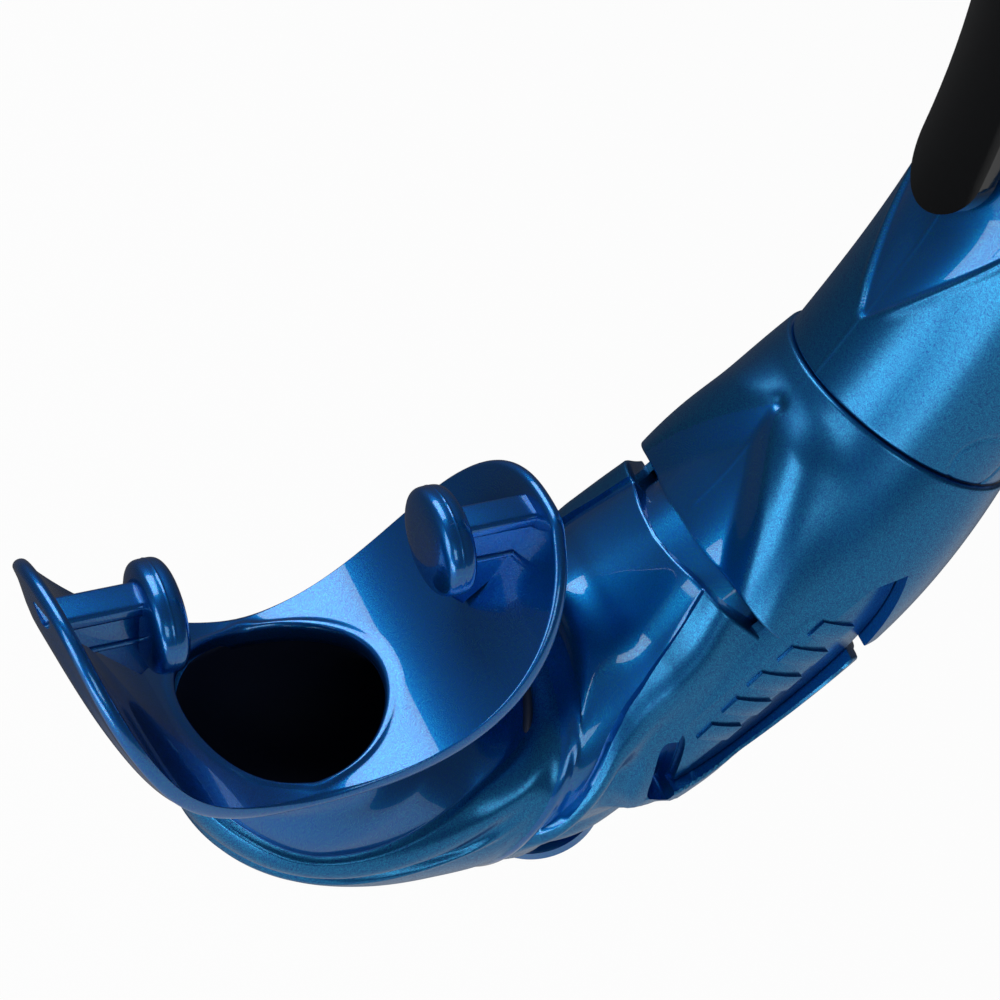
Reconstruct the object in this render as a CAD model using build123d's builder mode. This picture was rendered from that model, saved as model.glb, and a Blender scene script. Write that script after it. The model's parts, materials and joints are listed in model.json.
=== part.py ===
"""Snorkel with a purge valve, a mask-strap keeper and a float-operated dry top.

Frame: +Z up along the straight tube's axis, origin on that axis just above the
keeper.  The tube bends in the XZ plane towards -X, where the mouthpiece opens
upwards, and the whole snorkel is symmetric about Y = 0 except for small trim.
"""
import os
from math import acos, cos, degrees, radians, sin

from build123d import *

os.makedirs("parts", exist_ok=True)

# ---------------------------------------------------------------- driving sizes (mm)
# breathing tube
bore_r = 10.4                # free airway radius all the way through
tube_wall = 2.0              # wall of the straight tube
tube_top_z = 216.0           # height of the tube's open rim
straight_start_z = -58.5     # where the bend meets the straight tube
bend_r = 90.0                # large bend between the barrel and the straight tube
bend_end = 37.0              # heading in degrees where the large bend begins
link_len = 18.3              # straight run from there down to the barrel's knuckle
swivel_heading = -22.8       # heading of the barrel's spigot, on which the mouthpiece turns
swivel_len = 3.9             # from the knuckle's centre to the mouthpiece's end face
mouth_reach = 24.4           # from that face to the middle of the mouthpiece's hole, along X
mouth_rise = 10.9            # and along Z
knee_depth = 8.0             # depth of the airway's turn below the hole
turn_relief = 0.3            # how much wider than the bore the airway's turns are
# joints along the tube
vent_heading = 43.5          # place of the gap between barrel and collar on the bend
vent_tilt = -6.0             # the gap's plane against the tube there
vent_gap = 2.2               # width of that gap
seam_gap = 0.6               # thickness of the gasket at the seam
seal_r = 0.5                 # cord radius of the sealing rings
seam_heading = 60.3          # place of the seam between collar and upper tube
seam_tilt = 4.5
spigot_wall = 1.8            # wall of the barrel's spigot and of the inner duct
spigot_len = 7.0             # how deep each spigot goes
fit_gap = 0.05               # radial clearance of a running or push fit
swivel_gap = 0.35            # face clearance of the mouthpiece at the barrel
# outer shells: half-widths across the bend plane and in it
barrel_r = 14.0
barrel_side = 15.2
knuckle_r = 14.4
collar_side = 15.6
collar_deep = 14.4
seam_side = 13.9
seam_deep = 13.1
# mouthpiece flange: an elliptic trough
flange_a = 26.5              # half-width of the trough
flange_b = 29.4              # depth radius of the trough
flange_t = 2.4               # thickness
flange_span = 76.6           # degrees from the middle to each end
flange_mid_h = 12.8          # half-height in the middle
flange_end_h = 19.6          # half-height towards the ends
flange_power = 2.34          # roundness of the outline
sleeve_r = 14.3              # soft sleeve over the elbow
# bite lugs
lug_x = 14.5
lug_z = 19.0
lug_plate = (3.4, 14.0, 11.0)
lug_tab = (4.2, 9.0)         # thickness and length of the tab between the teeth
# side badges: a leaf-shaped plate on each flank, across the vent
badge_len = 35.7
badge_w = 13.1
badge_t = 1.2
badge_floor = 12.9           # distance of the recess floor from the middle plane
badge_gap = 0.15
badge_back = 2.2             # from the vent towards the mouthpiece
badge_shift = 0.2            # towards the outside of the bend
badge_turn = 5.8             # degrees steeper than the tube
rib_h = 0.5                  # raised bars on the badge
# keeper
keeper_t = 2.0
tongue_w = 10.6
tongue_len = 31.0            # how far the tongue hangs below the keeper
tongue_gap = 0.4             # between the tongue and the tube
arm_h = 8.0                  # height of the arm above the strap slot
foot_h = 5.0                 # height of the foot below it
ear_w = 4.6                  # width of each hinge ear of the gate
button_w = 8.0
button_d = 3.6
button_h = 5.0
button_out = 1.6             # how far the button stands above its arm
pocket_depth = 6.4
spring_r = 1.2
spring_wire = 0.25
spring_turns = 3
keeper_len = 42.0
keeper_drop = 4.0            # distance from the keeper's top edge to the origin
liner_t = 0.6
strap_w = 27.0               # height of the strap slot
strap_t = 4.6                # depth of the strap slot
gate_t = 2.4
gate_w = 20.0
gate_pin_r = 1.2
# purge valve
purge_heading = 20.0         # heading of the barrel where the valve sits, its lowest point
purge_r = 6.4
purge_t = 0.7
purge_lift = 0.9
purge_seat_t = 1.0
purge_ledge_w = 1.0          # ledge that carries the seat
purge_boss_t = 1.8           # wall of the boss round the valve
purge_guard_t = 1.2
stem_r = 0.85
stem_gap = 0.08
bulb_r = 1.3
bulb_h = 1.2
drain_hole_r = 1.3
guard_slot = (9.0, 1.4, 2.8) # length, width and spacing of the guard's slots
# dry top
socket_h = 14.0
socket_t = 2.4
seat_r = 9.2
seat_t = 1.6
flap_t = 1.6
flap_open = 50.0
hinge_r = 1.0
flap_rim = 2.6               # how far the flap reaches past the seat's hole
pad_t = 1.2
shoulder_t = 2.0             # inner shoulder that stops on the tube's rim
deck_drop = 11.0             # deck of the dry top below the tube's rim
deck_t = 2.0
ear_gap = 9.0                # half the gap between the hinge ears
ear_t = 2.2
hood_big_r = 18.2
hood_small_r = 17.0
hood_reach = 18.2            # distance between the two rounds of the hood
hood_h = 44.0
hood_t = 1.8
hood_round = 7.0
hood_slot = (22.0, 2.2, 6.0) # height, width and spacing of the hood's slots
float_size = (10.5, 15.0, 22.0)
float_round = 5.0            # corners that sweep past the hood as the float rises
# signal band
band_t = 0.8
band_h = 22.0
band_drop = 44.0             # foot of the band below the tube's rim

# ---------------------------------------------------------------- derived values
tube_r = bore_r + tube_wall
spigot_r = bore_r + spigot_wall


def on_bend(heading):
    """Point of the large bend where the tube runs at this heading."""
    h = radians(heading)
    return (-bend_r * (1 - sin(h)), straight_start_z - bend_r * cos(h))


def step(point, heading, length):
    """Point at this distance from another, along a heading."""
    h = radians(heading)
    return (point[0] + length * cos(h), point[1] + length * sin(h))


link_top = on_bend(bend_end)
knuckle = step(link_top, bend_end, -link_len)
swivel = step(knuckle, swivel_heading, -swivel_len)
mouth = (swivel[0] - mouth_reach, swivel[1] + mouth_rise)
knee = (mouth[0], mouth[1] - knee_depth)
vent = on_bend(vent_heading)
seam = on_bend(seam_heading)


def across(point, heading, shift=0.0):
    """Plane across the tube: local x points to the outside of the bend, local y along +Y."""
    h = radians(heading)
    return Plane(
        origin=(point[0] + shift * cos(h), 0, point[1] + shift * sin(h)),
        x_dir=(sin(h), 0, -cos(h)),
        z_dir=(cos(h), 0, sin(h)),
    )


bend_centre = (-bend_r, straight_start_z)
swivel_plane = across(swivel, swivel_heading)
swivel_axis = Axis((swivel[0], 0, swivel[1]), tuple(swivel_plane.z_dir))
vent_axis_heading = vent_heading + vent_tilt
vent_plane = across(vent, vent_axis_heading)
seam_axis_heading = seam_heading + seam_tilt
seam_plane = across(seam, seam_axis_heading)

# ---------------------------------------------------------------- leaf outline of the side badges
badge_bow = (badge_len**2 / badge_w + badge_w) / 4       # radius of the leaf's two arcs
badge_at = step(step(vent, vent_heading, -badge_back), vent_heading - 90, badge_shift)


def leaf(inset=0.0):
    """Draw the leaf outline in a sketch that lies along the XZ plane."""
    with Locations(Location((badge_at[0], badge_at[1], 0), (0, 0, vent_heading + badge_turn))):
        with Locations((0, badge_bow - badge_w / 2)):
            Circle(badge_bow - inset)
        with Locations((0, badge_w / 2 - badge_bow)):
            Circle(badge_bow - inset, mode=Mode.INTERSECT)


def cut_badge_recess():
    """Cut the leaf-shaped recess into both flanks of the part being built."""
    for way in (-1, 1):
        with BuildSketch(Plane.XZ.offset(way * badge_floor)) as recess:
            leaf()
        extrude(recess.sketch, amount=way * 6, mode=Mode.SUBTRACT)


# ---------------------------------------------------------------- mouthpiece
flange_z = mouth[1] + flange_b            # centre of the trough's ellipse


def flange_outline(steps=9):
    """Half outline of the flange seen along X: (y, z) from the tip to the middle."""
    points = []
    for i in range(steps):
        u = 1 - i / (steps - 1)
        height = flange_mid_h + (flange_end_h - flange_mid_h) * sin(u * radians(90)) ** 2
        y = height * (1 - u**flange_power) ** (1 / flange_power)
        z = flange_z - flange_b * cos(radians(flange_span) * u)
        points.append((y, z))
    return points


sleeve_knee = (mouth[0] + 3.5, mouth[1] - 9.9)
sleeve_plane = Plane(
    origin=(sleeve_knee[0], 0, sleeve_knee[1]),
    z_dir=(swivel[0] - sleeve_knee[0], 0, swivel[1] - sleeve_knee[1]),
)
socket_end = step(swivel, swivel_heading, -spigot_len)
knee_plane = Plane(
    origin=(knee[0], 0, knee[1]),
    z_dir=(socket_end[0] - knee[0], 0, socket_end[1] - knee[1]),
)

with BuildPart() as mouthpiece:
    with BuildSketch(Plane.XZ.offset(-25)):
        with Locations((mouth[0], flange_z)):
            Ellipse(flange_a + flange_t / 2, flange_b + flange_t / 2)
            Ellipse(flange_a - flange_t / 2, flange_b - flange_t / 2, mode=Mode.SUBTRACT)
    extrude(amount=50)
    with BuildSketch(Plane.YZ.offset(mouth[0] - 40)):
        with BuildLine():
            half = flange_outline()
            side = Spline(*half)
            Line(side @ 1, (half[-1][0], mouth[1] - 3))
            Line((half[-1][0], mouth[1] - 3), (0, mouth[1] - 3))
            mirror(about=Plane.YZ)
        make_face()
    extrude(amount=80, mode=Mode.INTERSECT)
    # sleeve: a rounded knee under the flange and a run to the barrel
    with Locations((sleeve_knee[0], 0, sleeve_knee[1])):
        Sphere(sleeve_r)
    with BuildSketch(Plane.XY.offset(sleeve_knee[1])):
        with Locations((mouth[0], 0)):
            Circle(sleeve_r - 1)
    extrude(amount=mouth[1] - sleeve_knee[1] + 1)
    with BuildSketch(sleeve_plane):
        Circle(sleeve_r)
    extrude(amount=2 * mouth_reach)
    split(bisect_by=across(swivel, swivel_heading, -swivel_gap), keep=Keep.BOTTOM)
    # nothing of the sleeve stands inside the trough
    with BuildSketch(Plane.XZ.offset(-25)):
        with Locations((mouth[0], flange_z)):
            Ellipse(flange_a - flange_t / 2, flange_b - flange_t / 2)
    extrude(amount=50, mode=Mode.SUBTRACT)
    # bite lugs: a tab between the teeth and a plate behind them
    for way in (-1, 1):
        tab_in = lug_x - lug_plate[0] / 2
        with Locations((mouth[0] + way * (tab_in + 5.0), 0, mouth[1] + lug_z)):
            Box(10.0, lug_tab[0], lug_tab[1])
        with Locations((mouth[0] + way * lug_x, 0, mouth[1] + lug_z)):
            Box(*lug_plate)
    # airway through the flange, round the knee and into the socket
    with BuildSketch(Plane.XY.offset(knee[1])):
        with Locations((mouth[0], 0)):
            Circle(bore_r)
    extrude(amount=knee_depth + 6, mode=Mode.SUBTRACT)
    with Locations((knee[0], 0, knee[1])):
        Sphere(bore_r + turn_relief, mode=Mode.SUBTRACT)
    with BuildSketch(knee_plane):
        Circle(bore_r)
    extrude(amount=socket_end[0] - knee[0] + 1, mode=Mode.SUBTRACT)
    with BuildSketch(across(swivel, swivel_heading, -spigot_len - fit_gap)):
        Circle(spigot_r + fit_gap)
    extrude(amount=spigot_len + 2, mode=Mode.SUBTRACT)
mouthpiece.part.label = "mouthpiece"
export_step(mouthpiece.part, "parts/mouthpiece.step")

# ---------------------------------------------------------------- swivel seal
seal_centre_r = spigot_r - seal_r + fit_gap / 2      # its crown stands into the socket's clearance
seal_plane = across(swivel, swivel_heading, -spigot_len / 2)
seal_section = Plane(origin=seal_plane.origin, x_dir=seal_plane.x_dir, z_dir=(0, 1, 0))
with BuildPart() as swivel_seal:
    with BuildSketch(seal_section):
        with Locations((seal_centre_r, 0)):
            Circle(seal_r)
    revolve(axis=swivel_axis)
swivel_seal.part.label = "swivel_seal"
export_step(swivel_seal.part, "parts/swivel_seal.step")

# ---------------------------------------------------------------- purge valve, at the barrel's lowest point
purge_seat_r = purge_r + purge_ledge_w
purge_boss_r = purge_seat_r + purge_boss_t
purge_ledge = bore_r + 1.0                       # height of the seat above the tube's axis
purge_face = purge_ledge + purge_seat_t          # the disc rests here
purge_guard_low = purge_face + purge_t + purge_lift + 0.2
purge_top = purge_guard_low + purge_guard_t
purge_h = radians(purge_heading)
purge_plane = Plane(
    origin=(knuckle[0], 0, knuckle[1]),
    x_dir=(0, 1, 0),
    z_dir=(sin(purge_h), 0, -cos(purge_h)),
)

with BuildPart() as purge_seat:
    with BuildSketch(purge_plane.offset(purge_ledge)):
        Circle(purge_seat_r)
        Circle(stem_r + stem_gap, mode=Mode.SUBTRACT)
        with PolarLocations(purge_seat_r * 0.5, 6):
            Circle(drain_hole_r, mode=Mode.SUBTRACT)
    extrude(amount=purge_seat_t)
purge_seat.part.label = "purge_seat"
export_step(purge_seat.part, "parts/purge_seat.step")

with BuildPart() as purge_valve:
    with BuildSketch(purge_plane.offset(purge_face)):
        Circle(purge_r)
    extrude(amount=purge_t)
    with BuildSketch(purge_plane.offset(purge_face)):
        Circle(stem_r)
    extrude(amount=-(purge_seat_t + purge_lift + 0.3))
    bulb_top = purge_ledge - purge_lift - 0.1
    with BuildSketch(purge_plane.offset(bulb_top)):
        Circle(bulb_r)
    extrude(amount=-bulb_h, taper=25)
purge_valve.part.label = "purge_valve"
export_step(purge_valve.part, "parts/purge_valve.step")

with BuildPart() as purge_guard:
    with BuildSketch(purge_plane.offset(purge_guard_low)):
        Circle(purge_seat_r)
        with GridLocations(guard_slot[2], 0, 4, 1):
            SlotOverall(guard_slot[0], guard_slot[1], rotation=90, mode=Mode.SUBTRACT)
    extrude(amount=purge_guard_t)
purge_guard.part.label = "purge_guard"
export_step(purge_guard.part, "parts/purge_guard.step")

# ---------------------------------------------------------------- lower barrel
vent_low = across(vent, vent_axis_heading, -vent_gap / 2)      # the barrel ends here
vent_high = across(vent, vent_axis_heading, vent_gap / 2)      # the collar starts here

with BuildPart() as lower_barrel:
    with Locations((knuckle[0], 0, knuckle[1])):
        Sphere(knuckle_r)
    for plane, deep, side in (
        (across(knuckle, bend_end / 3), knuckle_r - turn_relief, knuckle_r - turn_relief),
        (across(link_top, bend_end), barrel_r, barrel_side),
        (vent_low, barrel_r, barrel_side),
    ):
        with BuildSketch(plane):
            Ellipse(deep, side) if deep != side else Circle(deep)
    loft()
    split(bisect_by=swivel_plane, keep=Keep.TOP)
    with BuildSketch(swivel_plane):
        Circle(spigot_r)
    extrude(amount=-spigot_len)
    # airway: through the spigot, round the knuckle and along the link and the bend
    with BuildSketch(across(knuckle, swivel_heading)):
        Circle(bore_r)
    extrude(amount=-swivel_len - spigot_len - 1, mode=Mode.SUBTRACT)
    with Locations((knuckle[0], 0, knuckle[1])):
        Sphere(bore_r + turn_relief, mode=Mode.SUBTRACT)
    with BuildLine(Plane.XZ) as low_path:
        Line(knuckle, link_top)
        CenterArc(bend_centre, bend_r, bend_end - 90, vent_heading - bend_end + 4)
    with BuildSketch(across(knuckle, bend_end)):
        Circle(bore_r)
    sweep(path=low_path.wire(), mode=Mode.SUBTRACT)
    # groove for the swivel seal
    with BuildSketch(seal_section):
        with Locations((seal_centre_r, 0)):
            Rectangle(2 * seal_r, 2 * seal_r + 0.2)
    revolve(axis=swivel_axis, mode=Mode.SUBTRACT)
    # socket for the inner duct
    with BuildSketch(vent_low):
        Circle(spigot_r + fit_gap)
    extrude(amount=-spigot_len, mode=Mode.SUBTRACT)
    cut_badge_recess()
    # boss, ledge and drain hole of the purge valve, at the lowest point
    with BuildSketch(purge_plane.offset(bore_r + 0.6)):
        Circle(purge_boss_r)
    extrude(amount=purge_top - bore_r - 0.6)
    with BuildSketch(purge_plane.offset(purge_ledge)):
        Circle(purge_seat_r + fit_gap)
    extrude(amount=8, mode=Mode.SUBTRACT)
    with BuildSketch(purge_plane.offset(bore_r / 2)):
        Circle(purge_seat_r - purge_ledge_w)
    extrude(amount=purge_ledge - bore_r / 2, mode=Mode.SUBTRACT)
lower_barrel.part.label = "lower_barrel"
export_step(lower_barrel.part, "parts/lower_barrel.step")

# ---------------------------------------------------------------- vent collar
with BuildPart() as vent_collar:
    middle = (vent_heading + seam_heading) / 2
    for plane, deep, side in (
        (vent_high, barrel_r + 0.2, collar_side),
        (across(on_bend(middle), middle), collar_deep, collar_side),
        (seam_plane, seam_deep, seam_side),
    ):
        with BuildSketch(plane):
            Ellipse(deep, side)
    loft()
    with BuildLine(Plane.XZ) as collar_path:
        CenterArc(bend_centre, bend_r, vent_heading - 90 - 4, seam_heading - vent_heading + 8)
    with BuildSketch(across(on_bend(vent_heading - 4), vent_heading - 4)):
        Circle(bore_r)
    sweep(path=collar_path.wire(), mode=Mode.SUBTRACT)
    for plane, way in ((vent_high, 1), (seam_plane, -1)):
        with BuildSketch(plane):
            Circle(spigot_r + fit_gap)
        extrude(amount=way * spigot_len, mode=Mode.SUBTRACT)
    cut_badge_recess()
vent_collar.part.label = "vent_collar"
export_step(vent_collar.part, "parts/vent_collar.step")

# ---------------------------------------------------------------- inner duct across the vent
duct_half = spigot_len + vent_gap / 2 - 0.3
duct_axis = Axis((vent[0], 0, vent[1]), tuple(vent_plane.z_dir))
seal_shift = (vent_gap + spigot_len) / 2
with BuildPart() as inner_duct:
    with BuildSketch(across(vent, vent_axis_heading, -duct_half)):
        Circle(spigot_r)
        Circle(bore_r, mode=Mode.SUBTRACT)
    extrude(amount=2 * duct_half)
    for way in (-1, 1):
        with BuildSketch(across(vent, vent_axis_heading, way * seal_shift - seal_r - 0.1)):
            Circle(spigot_r + 1)
            Circle(spigot_r - 2 * seal_r + fit_gap / 2, mode=Mode.SUBTRACT)
        extrude(amount=2 * seal_r + 0.2, mode=Mode.SUBTRACT)
inner_duct.part.label = "inner_duct"
export_step(inner_duct.part, "parts/inner_duct.step")

with BuildPart() as duct_seals:
    for way in (-1, 1):
        centre = across(vent, vent_axis_heading, way * seal_shift)
        with BuildSketch(Plane(origin=centre.origin, x_dir=centre.x_dir, z_dir=(0, 1, 0))):
            with Locations((seal_centre_r, 0)):
                Circle(seal_r)
        revolve(axis=duct_axis)
duct_seals.part.label = "duct_seals"
export_step(duct_seals.part, "parts/duct_seals.step")

# ---------------------------------------------------------------- gasket and upper tube
with BuildPart() as seam_gasket:
    with BuildSketch(seam_plane):
        Ellipse(seam_deep - 0.4, seam_side - 0.4)
        Circle(spigot_r + fit_gap, mode=Mode.SUBTRACT)
    extrude(amount=seam_gap)
seam_gasket.part.label = "seam_gasket"
export_step(seam_gasket.part, "parts/seam_gasket.step")

with BuildPart() as upper_tube:
    half_way = (seam_heading + 90) / 2
    for plane, deep, side in (
        (across(seam, seam_axis_heading, seam_gap), seam_deep - 0.2, seam_side - 0.2),
        (across(on_bend(half_way), half_way), (seam_deep + tube_r) / 2, (seam_side + tube_r) / 2 - 0.2),
        (Plane.XY.offset(straight_start_z), tube_r, tube_r),
    ):
        with BuildSketch(plane):
            Ellipse(deep, side) if deep != side else Circle(deep)
    loft()
    with BuildSketch(Plane.XY.offset(straight_start_z)):
        Circle(tube_r)
    extrude(amount=tube_top_z - straight_start_z)
    with BuildSketch(across(seam, seam_axis_heading, seam_gap + 0.5)):
        Circle(spigot_r)
    extrude(amount=-spigot_len)
    with BuildLine(Plane.XZ) as upper_path:
        CenterArc(bend_centre, bend_r, seam_heading - 90 - 8, 98 - seam_heading)
        Line((0, straight_start_z), (0, tube_top_z + 1))
    with BuildSketch(across(on_bend(seam_heading - 8), seam_heading - 8)):
        Circle(bore_r)
    sweep(path=upper_path.wire(), mode=Mode.SUBTRACT)
upper_tube.part.label = "upper_tube"
export_step(upper_tube.part, "parts/upper_tube.step")

# ---------------------------------------------------------------- side badges, one on each flank
with BuildPart() as side_badges:
    for way in (-1, 1):
        with BuildSketch(Plane.XZ.offset(way * badge_floor)):
            leaf(badge_gap)
        extrude(amount=way * badge_t)
        with BuildSketch(Plane.XZ.offset(way * (badge_floor + badge_t))):
            with Locations(Location((badge_at[0], badge_at[1], 0), (0, 0, vent_heading + badge_turn))):
                for shift, length in ((-7.0, 4.0), (-3.5, 6.0), (0.0, 7.0), (3.5, 6.0), (7.0, 4.0)):
                    with Locations((shift, 0)):
                        SlotOverall(length, 1.3, rotation=90)
        extrude(amount=way * rib_h)
side_badges.part.label = "side_badges"
export_step(side_badges.part, "parts/side_badges.step")

# ---------------------------------------------------------------- keeper on the straight tube
keeper_top = -keeper_drop
keeper_low = keeper_top - keeper_len
liner_r = tube_r + liner_t
keeper_r = liner_r + keeper_t
tongue_tip = keeper_low - tongue_len
tongue_heading = degrees(acos((straight_start_z - tongue_tip) / bend_r)) - 4
arm_top = keeper_top - 1.5
slot_top = arm_top - arm_h
slot_low = slot_top - strap_w + 2 * fit_gap
slot_in = -keeper_r - 0.4     # wall behind the strap
slot_out = slot_in - strap_t
foot_low = slot_low - foot_h
body_out = slot_out + 0.2     # outer face of the body, just behind the gate
gate_pin = (slot_out - gate_t / 2, slot_low - foot_h / 2)
knuckle_w = gate_w - 2 * ear_w - 0.4
gate_r = foot_h / 2 - 0.1

with BuildPart() as keeper_liner:
    with BuildSketch(Plane.XY.offset(keeper_low + 1)):
        Circle(liner_r)
        Circle(tube_r + fit_gap, mode=Mode.SUBTRACT)
    extrude(amount=keeper_len - 2)
keeper_liner.part.label = "keeper_liner"
export_step(keeper_liner.part, "parts/keeper_liner.step")

button_x = slot_in - strap_t / 2 + 0.4

with BuildPart() as tongue:
    # a strip that follows the tube down the inside of the bend
    with BuildLine(Plane.XZ) as tongue_path:
        CenterArc(bend_centre, bend_r, tongue_heading - 90, 90 - tongue_heading)
        Line((0, straight_start_z), (0, keeper_low + 6))
    with BuildSketch(across(on_bend(tongue_heading), tongue_heading)):
        Circle(keeper_r)
        Circle(liner_r + tongue_gap, mode=Mode.SUBTRACT)
    sweep(path=tongue_path.wire())
    with BuildSketch(Plane.YZ.offset(-bend_r)):
        with Locations((0, (tongue_tip + tongue_w / 2 + keeper_low + 6) / 2)):
            Rectangle(tongue_w, keeper_low + 6 - tongue_tip - tongue_w / 2)
        with Locations((0, tongue_tip + tongue_w / 2)):
            Circle(tongue_w / 2)
    extrude(amount=bend_r - 3, mode=Mode.INTERSECT)

with BuildPart() as keeper_base:
    with BuildSketch(Plane.XY.offset(keeper_low)):
        Circle(keeper_r)
    extrude(amount=keeper_len)
    add(tongue.part)
    # body that carries the strap slot
    with BuildSketch(Plane.XZ.offset(-gate_w / 2)):
        with Locations(((body_out - tube_r) / 2, (arm_top + foot_low) / 2)):
            Rectangle(-tube_r - body_out, arm_top - foot_low)
        with Locations(gate_pin):
            Circle(foot_h / 2)
    extrude(amount=gate_w)
    with BuildSketch(Plane.XZ.offset(-gate_w)):
        with Locations(((slot_in + slot_out) / 2 - 1, (slot_top + slot_low) / 2)):
            Rectangle(strap_t + 2, slot_top - slot_low)
    extrude(amount=2 * gate_w, mode=Mode.SUBTRACT)
    # room for the gate's knuckle, then the pin hole
    with BuildSketch(Plane.XZ.offset(-knuckle_w / 2 - 0.2)):
        with Locations(gate_pin):
            Circle(foot_h / 2 + 0.3)
        with Locations((gate_pin[0], gate_pin[1] + foot_h)):
            Rectangle(foot_h + 0.6, 2 * foot_h)
    extrude(amount=knuckle_w + 0.4, mode=Mode.SUBTRACT)
    with BuildSketch(Plane.XZ.offset(-gate_w / 2 - 1)):
        with Locations(gate_pin):
            Circle(gate_pin_r + fit_gap)
    extrude(amount=gate_w + 2, mode=Mode.SUBTRACT)
    # pocket of the release button
    with BuildSketch(Plane.XY.offset(arm_top - pocket_depth)):
        with Locations((button_x, 0)):
            RectangleRounded(button_d + 0.2, button_w + 0.2, 1.0)
    extrude(amount=pocket_depth + 1, mode=Mode.SUBTRACT)
    with BuildSketch(Plane.XY.offset(keeper_low - 1)):
        Circle(liner_r)
    extrude(amount=keeper_len + 2, mode=Mode.SUBTRACT)
keeper_base.part.label = "keeper_base"
export_step(keeper_base.part, "parts/keeper_base.step")

with BuildPart() as strap_gate:
    with BuildSketch(Plane.XZ.offset(-knuckle_w / 2)):
        with Locations(gate_pin):
            Circle(gate_r)
    extrude(amount=knuckle_w)
    with BuildSketch(Plane.XZ.offset(-knuckle_w / 2)):
        with Locations((slot_out - gate_t / 2, (gate_pin[1] + slot_low + 3) / 2)):
            Rectangle(gate_t, slot_low + 3 - gate_pin[1])
    extrude(amount=knuckle_w)
    with BuildSketch(Plane.YZ.offset(slot_out - gate_t)):
        with Locations((0, (slot_low + 0.8 + arm_top) / 2)):
            RectangleRounded(gate_w, arm_top - slot_low - 0.8, 3.0)
    extrude(amount=gate_t)
    with BuildSketch(Plane.XZ.offset(-gate_w)):
        with Locations(gate_pin):
            Circle(gate_pin_r + fit_gap)
    extrude(amount=2 * gate_w, mode=Mode.SUBTRACT)
strap_gate.part.label = "strap_gate"
export_step(strap_gate.part, "parts/strap_gate.step")

with BuildPart() as gate_hinge_pin:
    with BuildSketch(Plane.XZ.offset(-gate_w / 2 + 0.2)):
        with Locations(gate_pin):
            Circle(gate_pin_r)
    extrude(amount=gate_w - 0.4)
gate_hinge_pin.part.label = "gate_hinge_pin"
export_step(gate_hinge_pin.part, "parts/gate_hinge_pin.step")

with BuildPart() as release_button:
    with BuildSketch(Plane.XY.offset(arm_top + button_out - button_h)):
        with Locations((button_x, 0)):
            RectangleRounded(button_d, button_w, 0.9)
    extrude(amount=button_h)
    fillet(release_button.edges().group_by(Axis.Z)[-1], 0.5)
release_button.part.label = "release_button"
export_step(release_button.part, "parts/release_button.step")

spring_h = pocket_depth + button_out - button_h
with BuildPart() as button_spring:
    with BuildLine() as coil:
        Helix(
            pitch=(spring_h - 2 * spring_wire) / spring_turns,
            height=spring_h - 2 * spring_wire,
            radius=spring_r,
            center=(button_x, 0, arm_top - pocket_depth + spring_wire),
        )
    with BuildSketch(Plane(origin=coil.line @ 0, z_dir=coil.line % 0)):
        Circle(spring_wire)
    sweep(path=coil.line, is_frenet=True)
button_spring.part.label = "button_spring"
export_step(button_spring.part, "parts/button_spring.step")

# ---------------------------------------------------------------- signal band under the dry top
band_low = tube_top_z - band_drop
with BuildPart() as signal_band:
    with BuildSketch(Plane.XY.offset(band_low)):
        Circle(tube_r + band_t)
        Circle(tube_r + fit_gap, mode=Mode.SUBTRACT)
    extrude(amount=band_h)
signal_band.part.label = "signal_band"
export_step(signal_band.part, "parts/signal_band.step")

# ---------------------------------------------------------------- dry top
deck_z = tube_top_z - deck_drop
seat_z = tube_top_z + shoulder_t                # the seal sits on the shoulder
seat_top = seat_z + seat_t
hinge = (14.2, seat_top + 1.4)                  # axis of the flap and the float, in X and Z
socket_r = tube_r + socket_t


def top_outline(inset=0.0):
    """Outline of the dry top, drawn round the tube and the float."""
    Circle(hood_big_r - inset)
    with Locations((hood_reach, 0)):
        Circle(hood_small_r - inset)
    make_hull()


with BuildPart() as top_base:
    with BuildSketch(Plane.XY.offset(tube_top_z - socket_h)):
        Circle(socket_r)
    extrude(amount=socket_h + shoulder_t)
    with BuildSketch(Plane.XY.offset(deck_z)):
        top_outline(hood_t + fit_gap)
    extrude(amount=deck_t)
    with BuildSketch(Plane.XZ.offset(-ear_gap - ear_t)):
        with Locations((hinge[0], (deck_z + hinge[1]) / 2)):
            Rectangle(5.0, hinge[1] - deck_z)
        with Locations(hinge):
            Circle(2.5)
    extrude(amount=2 * (ear_gap + ear_t))
    with BuildSketch(Plane.XZ.offset(-ear_gap)):
        with Locations((hinge[0] + 3, (deck_z + deck_t + hinge[1]) / 2 + 4)):
            Rectangle(16.0, hinge[1] - deck_z - deck_t + 8)
    extrude(amount=2 * ear_gap, mode=Mode.SUBTRACT)
    with BuildSketch(Plane.XY.offset(tube_top_z - socket_h)):
        Circle(socket_r)
    extrude(amount=socket_h + shoulder_t)
    with BuildSketch(Plane.XZ.offset(-ear_gap - ear_t - 1)):
        with Locations(hinge):
            Circle(hinge_r + fit_gap)
    extrude(amount=2 * (ear_gap + ear_t + 1), mode=Mode.SUBTRACT)
    # drain slots beside the float
    with BuildSketch(Plane.XY.offset(deck_z - 1)):
        with Locations((24.0, 0)):
            with GridLocations(0, 5.0, 1, 4):
                SlotOverall(9.0, 2.2)
    extrude(amount=deck_t + 2, mode=Mode.SUBTRACT)
    with BuildSketch(Plane.XY.offset(tube_top_z - socket_h - 1)):
        Circle(tube_r + fit_gap)
    extrude(amount=socket_h + 1, mode=Mode.SUBTRACT)
    with BuildSketch(Plane.XY.offset(tube_top_z - 1)):
        Circle(seat_r)
    extrude(amount=shoulder_t + 2, mode=Mode.SUBTRACT)
top_base.part.label = "top_base"
export_step(top_base.part, "parts/top_base.step")

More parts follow.
